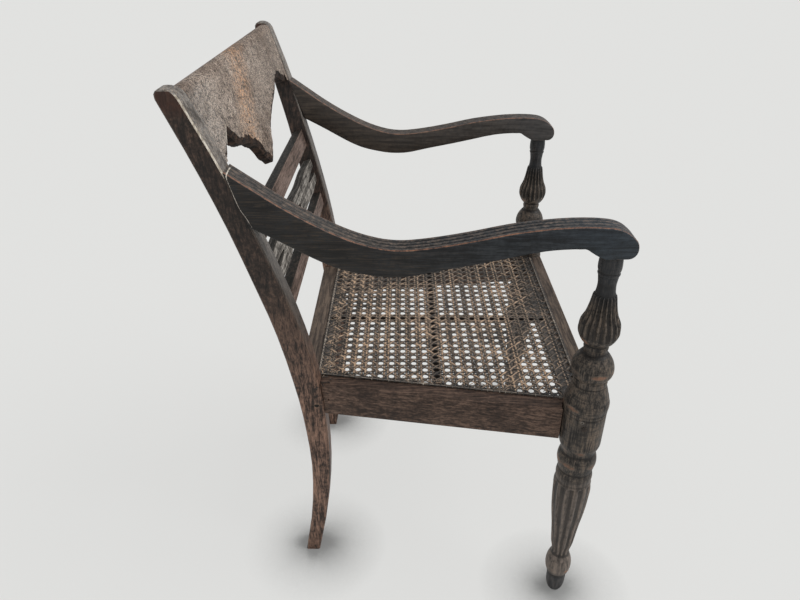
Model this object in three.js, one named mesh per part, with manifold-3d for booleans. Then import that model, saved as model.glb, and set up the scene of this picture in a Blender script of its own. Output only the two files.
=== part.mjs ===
// A colonial hardwood armchair with a caned seat: sabre back legs, turned and reeded front legs,
// scrolled and reeded arms, a broken shaped crest board and a pierced middle splat.
// Millimetres, +Z up. The sitter faces -Y, so the sitter's right hand is on the -X side.
// While it is built, Y = 0 is the line between the axes of the front legs and Z = 0 is the floor.
import * as THREE from 'three';
import { mergeVertices } from 'three/addons/utils/BufferGeometryUtils.js';
import Module from 'manifold-3d';

const wasm = await Module();
wasm.setup();

// Overall sizes
const SEAT_HEIGHT = 406;
const BACK_HEIGHT = 883;
const ARM_HEIGHT = 710.5;
const LEG_SPACING = 560.4;
const SEAT_REACH = 429.5;
const CREST_WIDTH = 638;
const SEAT_REAR_WIDTH = 460;
const FOOT_WIDTH = 403;

// Gaps and cuts
const GAP = 0.3;
const OVERRUN = 6;
const WELD = 0.0001;

// Back legs: planks sawn to a sabre curve, thinner at the foot and at the top
const STILE_THICKNESS = 34;
const STILE_DEPTH = 40;
const BACK_LEAN = 125.3;
const STILE_BEND = 40;
const STILE_TOP_ROUND = 12;
const STILE_EDGE = 2;
const STILE_STEPS = 22;
const STILE_ROUND_SHARES = [0, 0.5, 0.8, 0.95];
// each: share of the back's height, middle of the plank as a share of the lean, share of the depth
const STILE_SHARES = [
  [0, 0.129, 0.62],
  [0.127, -0.022, 0.69],
  [0.251, -0.091, 0.775],
  [0.362, -0.069, 0.9],
  [0.461, 0, 1],
  [0.589, 0.149, 0.96],
  [0.692, 0.32, 0.94],
  [0.795, 0.515, 0.84],
  [0.898, 0.74, 0.79],
  [1, 1, 0.7],
];

// Seat rails and their joints
const RAIL_HEIGHT = 57.5;
const RAIL_THICKNESS = 34;
const FRONT_RAIL_FACE = 28;
const REAR_RAIL_FACE = 15.5;
const SIDE_RAIL_OVERHANG = 8.4;
const SIDE_RAIL_RECESS = 6;
const TENON_THICKNESS = 12;
const TENON_LENGTH = 22;
const FRONT_TENON_LENGTH = 18;
const SIDE_TENON_REACH = -2;
const TENON_SHOULDER = 7;
const PEG_RADIUS = 4;
const PEG_SIDES = 12;
const PEG_DROP = 15;
// the pegs' ends in the front legs, as shares of the drum's radius from the leg's axis
const PEG_INNER_SHARE = 0.72;
const PEG_OUTER_SHARE = 0.95;
const PEG_BACK_SHARE = 0.2;
const PEG_FRONT_SHARE = 0.82;

// Turned front legs, in one piece from the foot to the tenon in the arm
const DRUM_RADIUS = 34;
const LEG_SIDES = 24;
const FLUTES = 12;
const REED_DEPTH = 2.6;
const FLUTE_DEPTH = 3.2;
const FLUTE_RAMP = 12;
const ARM_TENON_RADIUS = 9;
const ARM_TENON_LENGTH = 20;
// each: share of the height below the rails, share of the drum's radius
const LOWER_TURNING_SHARES = [
  [0, 0], [0, 0.221], [0.0086, 0.309], [0.0316, 0.406], [0.0631, 0.462], [0.1148, 0.482],
  [0.1349, 0.485], [0.1492, 0.562], [0.1894, 0.644], [0.2181, 0.621], [0.2525, 0.524],
  [0.2697, 0.453], [0.2869, 0.438], [0.3214, 0.494], [0.3472, 0.547], [0.4591, 0.656],
  [0.5882, 0.812], [0.6657, 0.865], [0.7174, 0.888], [0.7518, 0.859], [0.7747, 0.829],
  [0.8034, 0.829], [0.8264, 0.797], [0.8551, 0.829], [0.8895, 0.891], [0.9182, 0.853],
  [0.944, 0.788], [0.9613, 0.824], [0.9785, 0.888], [0.9857, 0.976],
];
// each: share of the height from the seat to the arm, share of the drum's radius
const UPPER_TURNING_SHARES = [
  [0, 0.98], [0.0388, 0.985], [0.0659, 0.997], [0.093, 0.953], [0.1163, 0.921], [0.1357, 0.859],
  [0.1628, 0.812], [0.1899, 0.726], [0.2326, 0.724], [0.2558, 0.821], [0.2752, 0.891],
  [0.2984, 0.915], [0.3256, 0.885], [0.3527, 0.812], [0.3798, 0.691], [0.407, 0.509], [0.4574, 0.5],
  [0.4729, 0.606], [0.4961, 0.735], [0.5194, 0.824], [0.5504, 0.871], [0.5814, 0.85],
  [0.6085, 0.788], [0.6357, 0.694], [0.6744, 0.606], [0.7209, 0.538], [0.7674, 0.471],
  [0.7752, 0.421], [0.814, 0.376], [0.8527, 0.376], [0.8915, 0.435], [0.9225, 0.476], [1, 0.465],
];
const REEDED_SHARES = [0.27, 0.74];
const FLUTED_SHARES = [0.495, 0.772];

// Arms
const ARM_WIDTH = 38;
const ARM_REEDS = 4;
const ARM_REED_DEPTH = 2;
const ARM_EDGE = 2.5;
const ARM_DEPTH = 31;
const ARM_STEPS = 40;
const ARM_MORTISE_HEIGHT = 30;
const ARM_REAR_TENON = 16;
// each: share of the seat's reach, share of the arm's height
const ARM_TOP_SHARES = [
  [-0.0665, 0.9576], [-0.063, 0.968], [-0.052, 0.9762], [-0.034, 0.9855], [-0.016, 0.9922],
  [0.012, 0.9974], [0.06, 1], [0.13, 0.9997], [0.21, 0.9958], [0.32, 0.9864], [0.42, 0.973],
  [0.525, 0.9606], [0.61, 0.9533], [0.665, 0.9513], [0.72, 0.9544], [0.79, 0.9658],
  [0.86, 0.9834], [0.94, 1.0083], [1.02, 1.0372], [1.1, 1.0703], [1.18, 1.1054],
];
const ARM_UNDER_SHARES = [
  [-0.0665, 0.9545], [-0.0645, 0.948], [-0.057, 0.9408], [-0.045, 0.9366], [-0.028, 0.9357],
  [0.047, 0.9354], [0.056, 0.94], [0.067, 0.9493], [0.08, 0.955], [0.135, 0.9561], [0.22, 0.9514],
  [0.32, 0.938], [0.42, 0.9245], [0.525, 0.9116], [0.61, 0.8998], [0.665, 0.8962],
  [0.725, 0.8972], [0.79, 0.904], [0.855, 0.9143], [0.93, 0.9355], [1, 0.9595], [1.085, 0.9866],
  [1.18, 1.0145],
];
const ARM_BLOCK_SHARE = 0.935;

// Crest board: a thick rounded upper edge, and a thinner board broken away along its lower edge
const CREST_THICKNESS = 17;
const CREST_ROLL_RADIUS = 13;
const CREST_DROP = 174;
const CREST_TENON_HEIGHT = 46;
const CREST_TENON_THICKNESS = 9;
const CREST_TENON_DROP = 45;
const CREST_TENON_LENGTH = 12;
const CREST_STEPS = 64;
// each: share of the half width of the opening below the crest, share of the crest's drop
const CREST_EDGE_SHARES = [
  [-1.25, 0.63], [-1, 0.622], [-0.93, 0.615], [-0.875, 0.6], [-0.82, 0.53], [-0.765, 0.494],
  [-0.72, 0.525], [-0.66, 0.61], [-0.56, 0.66], [-0.48, 0.685], [-0.43, 0.727], [-0.37, 0.768],
  [-0.325, 0.84], [-0.295, 0.91], [-0.25, 0.95], [-0.21, 1], [-0.165, 0.985], [-0.11, 0.945],
  [-0.055, 0.885], [0.01, 0.825], [0.13, 0.745], [0.235, 0.7], [0.33, 0.657], [0.415, 0.627],
  [0.56, 0.57], [0.645, 0.51], [0.76, 0.51], [0.88, 0.59], [1, 0.622], [1.25, 0.63],
];

// Rails and pierced splat across the back, set back from the fronts of the stiles
const BACK_RECESS = 9;
const BACK_THICKNESS = 18;
const UPPER_RAIL_HEIGHT = 32;
const LOWER_RAIL_HEIGHT = 27;
const BACK_TENON_LENGTH = 14;
const BACK_TENON_THICKNESS = 9;
const BACK_SHOULDER = 5;
// shares of the free height between the seat and the crest: below the crest, above and below the splat
const BACK_GAP_SHARES = [0.0893, 0.1173, 0.1046];
const SPLAT_HEIGHT = 48;
const SPLAT_THICKNESS = 15;
const SPLAT_WAVE = 3;
const SPLAT_STEPS = 36;
const SPLAT_WAVES = 3;
const SPLAT_SLOT_HEIGHT = 13;
const SPLAT_SLOT_LENGTH = 82;
const SPLAT_STUB = 8;

// Woven cane seat, its binder and the two battens below it
const CANE_MARGIN = 20;
const CANE_REAR_MARGIN = 25;
const CANE_THICKNESS = 1.6;
const NET_PITCH = 32;
const NET_STRAND = 14;
const NET_CORNER_SHARE = 0.3;
const BINDER_WIDTH = 4;
const BINDER_THICKNESS = 1.2;
const BINDER_INSET = 4;
const BATTEN_WIDTH = 13;
const CROSS_BATTEN_WIDTH = 12;
const BATTEN_THICKNESS = 8;
const BATTEN_DROP = 5.5;
const BATTEN_TENON = 8;
const CROSS_BATTEN_REACH = 220;

// Worked out from the sizes above
const halfSpacing = LEG_SPACING / 2;
const railLow = SEAT_HEIGHT - RAIL_HEIGHT;
const legTop = ARM_HEIGHT * ARM_BLOCK_SHARE - GAP;
const rearRailBack = SEAT_REACH + REAR_RAIL_FACE;
const drumReach = DRUM_RADIUS * Math.max(...UPPER_TURNING_SHARES.map(([, radius]) => radius));
const crestLow = BACK_HEIGHT - CREST_DROP;
const backFree = crestLow - SEAT_HEIGHT - UPPER_RAIL_HEIGHT - SPLAT_HEIGHT - LOWER_RAIL_HEIGHT;
const [underCrest, aboveSplat, belowSplat] = BACK_GAP_SHARES.map((share) => share * backFree);
const upperRailLevel = crestLow - underCrest - UPPER_RAIL_HEIGHT / 2;
const splatLevel = upperRailLevel - UPPER_RAIL_HEIGHT / 2 - aboveSplat - SPLAT_HEIGHT / 2;
const lowerRailLevel = splatLevel - SPLAT_HEIGHT / 2 - belowSplat - LOWER_RAIL_HEIGHT / 2;

const WOODS = {
  stile: { color: 0x3b322d, roughness: 0.62 },
  crest: { color: 0x6d635a, roughness: 0.72 },
  backRail: { color: 0x5a4a42, roughness: 0.7 },
  splat: { color: 0x6a665e, roughness: 0.8 },
  seatRail: { color: 0x463a33, roughness: 0.66 },
  arm: { color: 0x34322f, roughness: 0.5 },
  leg: { color: 0x3d3530, roughness: 0.58 },
  batten: { color: 0x3a322c, roughness: 0.8 },
  cane: { color: 0x75654f, roughness: 0.75 },
  binder: { color: 0x8a6f52, roughness: 0.7 },
  peg: { color: 0x4a4039, roughness: 0.7 },
};

// A three.js geometry made into a solid that can be cut and joined.
function solidOf(geometry) {
  const bare = geometry.clone();
  bare.deleteAttribute('normal');
  bare.deleteAttribute('uv');
  const welded = mergeVertices(bare, WELD);
  return new wasm.Manifold(new wasm.Mesh({
    numProp: 3,
    vertProperties: welded.attributes.position.array,
    triVerts: Uint32Array.from(welded.index.array),
  }));
}

function geometryOf(solid) {
  const mesh = solid.getMesh();
  const geometry = new THREE.BufferGeometry();
  geometry.setAttribute('position', new THREE.BufferAttribute(Float32Array.from(mesh.vertProperties), 3));
  geometry.setIndex(Array.from(mesh.triVerts));
  geometry.computeVertexNormals();
  return geometry;
}

// Points on a smooth curve through pairs of numbers, and its height at a place between them.
function smooth(pairs, steps) {
  const curve = new THREE.SplineCurve(pairs.map(([a, b]) => new THREE.Vector2(a, b)));
  return curve.getPoints(steps).map((point) => [point.x, point.y]);
}

function valueAt(pairs, place) {
  const after = pairs.findIndex(([along]) => along > place);
  if (after < 0) return pairs[pairs.length - 1][1];
  if (after === 0) return pairs[0][1];
  const [low, lowValue] = pairs[after - 1];
  const [high, highValue] = pairs[after];
  return lowValue + ((highValue - lowValue) * (place - low)) / (high - low);
}

// Back legs
const stileMiddle = smooth(
  STILE_SHARES.map(([height, lean]) => [height * BACK_HEIGHT, SEAT_REACH + lean * BACK_LEAN]),
  STILE_STEPS,
);
const stileDepth = STILE_SHARES.map(([height, , depth]) => [height * BACK_HEIGHT, depth * STILE_DEPTH]);
const stileFront = (height) => valueAt(stileMiddle, height) - valueAt(stileDepth, height) / 2;
const stileBack = (height) => valueAt(stileMiddle, height) + valueAt(stileDepth, height) / 2;

// How far out the plank's outer face stands: nearly upright below the seat, flared above it.
function stileOuter(height) {
  const below = (SEAT_REAR_WIDTH - FOOT_WIDTH) / 2 / SEAT_HEIGHT;
  const above = (CREST_WIDTH - SEAT_REAR_WIDTH) / 2 / (BACK_HEIGHT - SEAT_HEIGHT);
  const over = height - SEAT_HEIGHT;
  const bend = (over + Math.hypot(over, STILE_BEND)) / 2;
  return FOOT_WIDTH / 2 + below * height + (above - below) * bend;
}

const stileInner = (height) => stileOuter(height) - STILE_THICKNESS;

// The plank, or a cutter of its shape: front, back and across are how much bigger the cutter is.
function stileSolid(side, { front = 0, back = 0, across = 0 } = {}) {
  const rounds = STILE_ROUND_SHARES.map((share) => BACK_HEIGHT - STILE_TOP_ROUND * (1 - share));
  const heights = stileMiddle.map(([height]) => height).filter((height) => height < rounds[0]);
  const edge = front + back + across > 0 ? 0 : STILE_EDGE;
  const rings = [...heights, ...rounds, BACK_HEIGHT].map((height) => {
    const into = Math.max(0, 1 - (BACK_HEIGHT - height) / STILE_TOP_ROUND);
    const round = STILE_TOP_ROUND * (1 - Math.sqrt(1 - into ** 2));
    const taper = edge > 0 ? round / 2 : 0;
    const ends = [side * stileOuter(height), side * stileInner(height)].sort((a, b) => a - b);
    const [low, high] = [ends[0] - across + taper, ends[1] + across - taper];
    const [near, far] = [stileFront(height) - front + round, stileBack(height) + back - round];
    return chamfered(low, high, near, far, edge).map(([x, y]) => new THREE.Vector3(x, y, height));
  });
  return solidOf(loft(rings));
}

// Corners of a rectangle on plan, in turn, each cut off by the edge if there is one.
function chamfered(low, high, near, far, edge) {
  if (edge === 0) return [[low, near], [high, near], [high, far], [low, far]];
  return [
    [low + edge, near], [high - edge, near], [high, near + edge], [high, far - edge],
    [high - edge, far], [low + edge, far], [low, far - edge], [low, near + edge],
  ];
}

// A straight bar between two places on plan, and the same bar grown to be its own socket.
function bar(from, to, thickness, low, high, grow = 0) {
  const run = new THREE.Vector2().subVectors(to, from);
  const middle = new THREE.Vector2().addVectors(from, to).multiplyScalar(1 / 2);
  const [length, width, tall] = [run.length(), thickness, high - low].map((size) => size + grow * 2);
  const geometry = new THREE.BoxGeometry(length, width, tall);
  geometry.rotateZ(run.angle());
  geometry.translate(middle.x, middle.y, (low + high) / 2);
  return solidOf(geometry);
}

// Local frame of the leaning back: X across, Y up the slope, Z out of the stiles' front faces.
function leaned(geometry, height) {
  const step = OVERRUN;
  const lean = Math.atan2(stileFront(height + step) - stileFront(height - step), step * 2);
  geometry.rotateX(Math.PI / 2 - lean);
  geometry.translate(0, stileFront(height), height);
  return solidOf(geometry);
}

function slab(width, tall, thickness, recess, height, { grow = 0, shift = 0, rise = 0 } = {}) {
  const geometry = new THREE.BoxGeometry(width + grow * 2, tall + grow * 2, thickness + grow * 2);
  geometry.translate(shift, rise, -recess - thickness / 2);
  return leaned(geometry, height);
}

// Front legs
function flute(share, [low, high], length, depth) {
  const ramp = Math.min(share - low, high - share) * length;
  return depth * THREE.MathUtils.clamp(ramp / FLUTE_RAMP, 0, 1);
}

function legSolid(side) {
  const lower = LOWER_TURNING_SHARES.map(([height, radius]) => ({
    at: height * railLow,
    radius: radius * DRUM_RADIUS,
    cut: flute(height, REEDED_SHARES, railLow, REED_DEPTH),
  }));
  const length = legTop - SEAT_HEIGHT;
  const upper = UPPER_TURNING_SHARES.map(([height, radius]) => ({
    at: SEAT_HEIGHT + height * length,
    radius: radius * DRUM_RADIUS,
    cut: flute(height, FLUTED_SHARES, length, FLUTE_DEPTH),
  }));
  const tenon = [
    { at: legTop, radius: ARM_TENON_RADIUS, cut: 0 },
    { at: legTop + ARM_TENON_LENGTH, radius: ARM_TENON_RADIUS, cut: 0 },
    { at: legTop + ARM_TENON_LENGTH, radius: 0, cut: 0 },
  ];
  const stations = [...lower, ...upper, ...tenon];
  const profile = stations.map(({ at, radius }) => new THREE.Vector2(radius, at));
  const geometry = new THREE.LatheGeometry(profile, LEG_SIDES);
  const position = geometry.attributes.position;
  for (let i = 0; i < position.count; i += 1) {
    const { radius, cut } = stations[i % stations.length];
    if (radius > 0 && cut > 0) {
      const angle = Math.atan2(position.getX(i), position.getZ(i));
      const scale = 1 - (cut / radius) * (1 - Math.cos(FLUTES * angle)) / 2;
      position.setX(i, position.getX(i) * scale);
      position.setZ(i, position.getZ(i) * scale);
    }
  }
  geometry.rotateX(Math.PI / 2);
  geometry.translate(side * halfSpacing, 0, 0);
  return solidOf(geometry);
}

function rod(radius, length, sides) {
  return new THREE.CylinderGeometry(radius, radius, length, sides);
}

function legCutter(side, grow) {
  const geometry = rod(drumReach + grow, BACK_HEIGHT, LEG_SIDES);
  geometry.rotateX(Math.PI / 2);
  geometry.translate(side * halfSpacing, 0, BACK_HEIGHT / 2 - OVERRUN);
  return solidOf(geometry);
}

// Arms
const armTop = smooth(
  ARM_TOP_SHARES.map(([along, height]) => [along * SEAT_REACH, height * ARM_HEIGHT]),
  ARM_STEPS,
);
const armUnder = smooth(
  ARM_UNDER_SHARES.map(([along, height]) => [along * SEAT_REACH, height * ARM_HEIGHT]),
  ARM_STEPS * 2,
);

function armSection(place, top) {
  const under = valueAt(armUnder, place);
  const share = Math.min(1, (top - under) / ARM_DEPTH);
  const half = ARM_WIDTH / 2;
  const ring = [];
  for (let i = 0; i <= ARM_REEDS * 2; i += 1) {
    const across = -half + (ARM_WIDTH * i) / (ARM_REEDS * 2);
    const groove = i % 2 === 0 ? ARM_REED_DEPTH * share : 0;
    ring.push(new THREE.Vector3(across, place, top - groove));
  }
  const edge = ARM_EDGE * share;
  ring.push(new THREE.Vector3(half, place, under + edge));
  ring.push(new THREE.Vector3(half - edge, place, under));
  ring.push(new THREE.Vector3(edge - half, place, under));
  ring.push(new THREE.Vector3(-half, place, under + edge));
  return ring;
}

// A closed skin over rings of points, each ring closed by a fan to its own middle.
function loft(rings) {
  const count = rings[0].length;
  const points = rings.flat();
  const middle = (ring) => ring
    .reduce((sum, point) => sum.add(point), new THREE.Vector3())
    .divideScalar(count);
  points.push(middle(rings[0]), middle(rings[rings.length - 1]));
  const faces = [];
  for (let r = 0; r < rings.length - 1; r += 1) {
    for (let i = 0; i < count; i += 1) {
      const a = r * count + i;
      const b = r * count + ((i + 1) % count);
      faces.push(a, b, a + count, b, b + count, a + count);
    }
  }
  const last = (rings.length - 1) * count;
  for (let i = 0; i < count; i += 1) {
    const next = (i + 1) % count;
    faces.push(next, i, points.length - 2);
    faces.push(last + i, last + next, points.length - 1);
  }
  const geometry = new THREE.BufferGeometry().setFromPoints(points);
  geometry.setIndex(faces);
  return geometry;
}

const armRearTop = valueAt(armTop, stileFront(ARM_HEIGHT));
const armRear = stileFront(armRearTop + OVERRUN) + OVERRUN;
const armRearUnder = valueAt(armUnder, stileFront(ARM_HEIGHT));
const armJointHeight = (armRearTop + armRearUnder) / 2;

function armTenon(side, grow) {
  const x = side * halfSpacing;
  const start = stileFront(armJointHeight - ARM_MORTISE_HEIGHT / 2) - OVERRUN * 2;
  const end = stileFront(armJointHeight) + ARM_REAR_TENON;
  const low = armJointHeight - ARM_MORTISE_HEIGHT / 2;
  const from = new THREE.Vector2(x, start);
  return bar(from, new THREE.Vector2(x, end), TENON_THICKNESS, low, low + ARM_MORTISE_HEIGHT, grow);
}

function armSolid(side) {
  const rings = armTop.filter(([place]) => place < armRear).map(([place, top]) => armSection(place, top));
  rings.push(armSection(armRear, valueAt(armTop, armRear)));
  const geometry = loft(rings);
  geometry.translate(side * halfSpacing, 0, 0);
  const socket = rod(ARM_TENON_RADIUS + GAP, ARM_TENON_LENGTH + OVERRUN, LEG_SIDES);
  socket.rotateX(Math.PI / 2);
  socket.translate(side * halfSpacing, 0, legTop + (ARM_TENON_LENGTH - OVERRUN) / 2 + GAP);
  return solidOf(geometry)
    .subtract(stileSolid(side, { front: GAP, back: STILE_DEPTH, across: ARM_WIDTH }))
    .add(armTenon(side, 0))
    .subtract(solidOf(socket));
}

// Seat frame: the side rails narrow to the back
const railFront = new THREE.Vector2(halfSpacing + SIDE_RAIL_OVERHANG, 0);
const railRear = new THREE.Vector2(SEAT_REAR_WIDTH / 2 - SIDE_RAIL_RECESS, stileFront(SEAT_HEIGHT));
const railRun = new THREE.Vector2().subVectors(railRear, railFront).normalize();
const railInward = new THREE.Vector2(-railRun.y, railRun.x);
const railTenonLow = railLow + TENON_SHOULDER;
const railTenonHigh = SEAT_HEIGHT - TENON_SHOULDER;
const railTenonMiddle = (railTenonLow + railTenonHigh) / 2;

// A place beside the side rail: along it from its front end, and inward from its outer face.
function besideRail(side, along, inward) {
  const place = railFront.clone().addScaledVector(railRun, along).addScaledVector(railInward, inward);
  return new THREE.Vector2(side * place.x, place.y);
}

const railLength = railFront.distanceTo(railRear);
const railCentre = (side, along) => besideRail(side, along, RAIL_THICKNESS / 2);

// The rear tenons of the side rails lie in the lower half of the rails, those of the rear rail above.
const sideTenonFront = (side, grow) => bar(
  railCentre(side, SIDE_TENON_REACH), railCentre(side, railLength / 2),
  TENON_THICKNESS, railTenonLow, railTenonHigh, grow,
);
const sideTenonRear = (side, grow) => bar(
  railCentre(side, railLength / 2), railCentre(side, railLength + TENON_LENGTH),
  TENON_THICKNESS, railTenonLow, railTenonMiddle - GAP * 2, grow,
);

function sideRailSolid(side) {
  const length = railLength + OVERRUN;
  return bar(railCentre(side, 0), railCentre(side, length), RAIL_THICKNESS, railLow, SEAT_HEIGHT)
    .subtract(legCutter(side, GAP))
    .subtract(stileSolid(side, { front: GAP, back: STILE_DEPTH, across: RAIL_THICKNESS }))
    .add(sideTenonFront(side, 0))
    .add(sideTenonRear(side, 0));
}

const frontRailMiddle = -FRONT_RAIL_FACE + RAIL_THICKNESS / 2;
const frontTenonEnd = halfSpacing - drumReach + FRONT_TENON_LENGTH;
const frontTenon = (grow) => bar(
  new THREE.Vector2(-frontTenonEnd, frontRailMiddle), new THREE.Vector2(frontTenonEnd, frontRailMiddle),
  TENON_THICKNESS, railTenonLow, railTenonHigh, grow,
);

function frontRailSolid() {
  const end = halfSpacing - DRUM_RADIUS / 2;
  const from = new THREE.Vector2(-end, frontRailMiddle);
  const to = new THREE.Vector2(end, frontRailMiddle);
  return bar(from, to, RAIL_THICKNESS, railLow, SEAT_HEIGHT)
    .subtract(legCutter(-1, GAP))
    .subtract(legCutter(1, GAP))
    .add(frontTenon(0));
}

const rearRailMiddle = rearRailBack - RAIL_THICKNESS / 2;
const rearTenonEnd = stileInner(railTenonMiddle) + TENON_LENGTH;
const rearTenon = (grow) => bar(
  new THREE.Vector2(-rearTenonEnd, rearRailMiddle), new THREE.Vector2(rearTenonEnd, rearRailMiddle),
  TENON_THICKNESS, railTenonMiddle + GAP * 2, railTenonHigh, grow,
);

function rearRailSolid() {
  const end = stileOuter(railLow);
  const from = new THREE.Vector2(-end, rearRailMiddle);
  const to = new THREE.Vector2(end, rearRailMiddle);
  const wide = { front: STILE_DEPTH, back: STILE_DEPTH, across: GAP };
  return bar(from, to, RAIL_THICKNESS, railLow, SEAT_HEIGHT)
    .subtract(stileSolid(-1, wide))
    .subtract(stileSolid(1, wide))
    .add(rearTenon(0));
}

// Battens under the cane: one from front to back, and one across below it
const battenHigh = SEAT_HEIGHT - BATTEN_DROP;
const battenLow = battenHigh - BATTEN_THICKNESS;
const frontRailBack = -FRONT_RAIL_FACE + RAIL_THICKNESS;
const rearRailFront = rearRailBack - RAIL_THICKNESS;
const crossBattenEnd = railCentre(1, CROSS_BATTEN_REACH).x - RAIL_THICKNESS / 2;

const longBatten = (reach, grow) => bar(
  new THREE.Vector2(0, frontRailBack - reach), new THREE.Vector2(0, rearRailFront + reach),
  BATTEN_WIDTH, battenLow, battenHigh, grow,
);
const crossBatten = (reach, grow) => bar(
  new THREE.Vector2(-crossBattenEnd - reach, CROSS_BATTEN_REACH),
  new THREE.Vector2(crossBattenEnd + reach, CROSS_BATTEN_REACH),
  CROSS_BATTEN_WIDTH, battenLow - BATTEN_THICKNESS - GAP, battenLow - GAP, grow,
);

// Back: crest board, two rails and the pierced splat between them
const openingHalf = stileInner(BACK_HEIGHT - CREST_DROP / 2);

function crestSolid() {
  const edge = smooth(
    CREST_EDGE_SHARES.map(([across, drop]) => [across * openingHalf, -drop * CREST_DROP]),
    CREST_STEPS,
  );
  const half = stileInner(BACK_HEIGHT) + OVERRUN;
  const lower = edge.filter(([across]) => Math.abs(across) < half).map(([x, y]) => new THREE.Vector2(x, y));
  const upper = [half, -half].map((across) => new THREE.Vector2(across, -CREST_ROLL_RADIUS));
  const board = new THREE.ExtrudeGeometry(new THREE.Shape([...lower, ...upper]), {
    depth: CREST_THICKNESS,
    bevelEnabled: false,
  });
  board.translate(0, 0, -CREST_THICKNESS);
  const roll = rod(CREST_ROLL_RADIUS, half * 2, LEG_SIDES);
  roll.rotateZ(Math.PI / 2);
  roll.translate(0, -CREST_ROLL_RADIUS, -CREST_ROLL_RADIUS);
  return crestPlaced(board).add(crestPlaced(roll));
}

// From the crest's own frame to its place between the tops of the stiles.
const crestLean = Math.atan2(stileFront(BACK_HEIGHT) - stileFront(BACK_HEIGHT - CREST_DROP), CREST_DROP);

function crestPlaced(geometry) {
  geometry.rotateX(Math.PI / 2 - crestLean);
  geometry.translate(0, stileFront(BACK_HEIGHT), BACK_HEIGHT);
  return solidOf(geometry);
}

function crestTenon(grow) {
  const width = (stileInner(BACK_HEIGHT - CREST_TENON_DROP) + CREST_TENON_LENGTH) * 2;
  const geometry = new THREE.BoxGeometry(
    width + grow * 2, CREST_TENON_HEIGHT + grow * 2, CREST_TENON_THICKNESS + grow * 2,
  );
  geometry.translate(0, -CREST_TENON_DROP, -CREST_THICKNESS / 2);
  return crestPlaced(geometry);
}

const betweenStiles = (solid) => [-1, 1].reduce(
  (rest, side) => rest.subtract(stileSolid(side, { front: STILE_DEPTH, back: STILE_DEPTH, across: GAP })),
  solid,
);

function backRailTenon(tall, level, grow) {
  const width = (stileInner(level) + BACK_TENON_LENGTH) * 2;
  const recess = BACK_RECESS + (BACK_THICKNESS - BACK_TENON_THICKNESS) / 2;
  return slab(width, tall - BACK_SHOULDER * 2, BACK_TENON_THICKNESS, recess, level, { grow });
}

function backRailSolid(tall, level) {
  const width = (stileInner(level) + STILE_THICKNESS / 2) * 2;
  return betweenStiles(slab(width, tall, BACK_THICKNESS, BACK_RECESS, level))
    .add(backRailTenon(tall, level, 0));
}

const splatRecess = BACK_RECESS + (BACK_THICKNESS - SPLAT_THICKNESS) / 2;
const splatHalf = stileInner(splatLevel);
const splatBarHeight = (SPLAT_HEIGHT - SPLAT_SLOT_HEIGHT) / 2 - SPLAT_WAVE;

// Three slots in a row, the outer two open to the stiles, with a bridge between each two.
function splatSolid() {
  const wave = (across) => (SPLAT_WAVE * (1 - Math.cos((across / splatHalf) * Math.PI * SPLAT_WAVES))) / 2;
  const upper = [];
  const lower = [];
  const end = splatHalf + SPLAT_THICKNESS;
  for (let i = 0; i <= SPLAT_STEPS; i += 1) {
    const across = end - (end * 2 * i) / SPLAT_STEPS;
    upper.push(new THREE.Vector2(across, SPLAT_HEIGHT / 2 - wave(across)));
    lower.push(new THREE.Vector2(-across, wave(across) - SPLAT_HEIGHT / 2));
  }
  const outline = new THREE.Shape([...upper, ...lower]);
  const geometry = new THREE.ExtrudeGeometry(outline, { depth: SPLAT_THICKNESS, bevelEnabled: false });
  geometry.translate(0, 0, -splatRecess - SPLAT_THICKNESS);
  const slots = [[-splatHalf, 2], [0, 1], [splatHalf, 2]].map(([across, span]) => {
    const slot = rod(SPLAT_SLOT_HEIGHT / 2, SPLAT_THICKNESS + OVERRUN * 2, LEG_SIDES);
    slot.rotateX(Math.PI / 2);
    slot.scale((span * SPLAT_SLOT_LENGTH) / SPLAT_SLOT_HEIGHT, 1, 1);
    slot.translate(across, 0, -splatRecess - SPLAT_THICKNESS / 2);
    return leaned(slot, splatLevel);
  });
  const board = betweenStiles(leaned(geometry, splatLevel));
  const cut = slots.reduce((rest, slot) => rest.subtract(slot), board);
  return splatStubs(0).reduce((rest, stub) => rest.add(stub), cut);
}

// The four short ends of the splat that are let into the stiles.
function splatStubs(grow) {
  const places = [[-1, -1], [-1, 1], [1, -1], [1, 1]];
  const tall = splatBarHeight - SPLAT_WAVE;
  const recess = splatRecess + (SPLAT_THICKNESS - BACK_TENON_THICKNESS) / 2;
  const apart = (SPLAT_SLOT_HEIGHT + splatBarHeight) / 2;
  return places.map(([side, level]) => slab(
    SPLAT_STUB * 2, tall, BACK_TENON_THICKNESS, recess, splatLevel,
    { grow, shift: side * splatHalf, rise: level * apart },
  ));
}

// Pegs through the seat frame's joints: from the side, or from the front or back.
function pegSolid({ x, y, z, reach, along }, grow) {
  const geometry = rod(PEG_RADIUS + grow, reach + grow * 2, PEG_SIDES);
  if (along === 'x') geometry.rotateZ(Math.PI / 2);
  geometry.translate(x, y, z);
  return solidOf(geometry);
}

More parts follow.
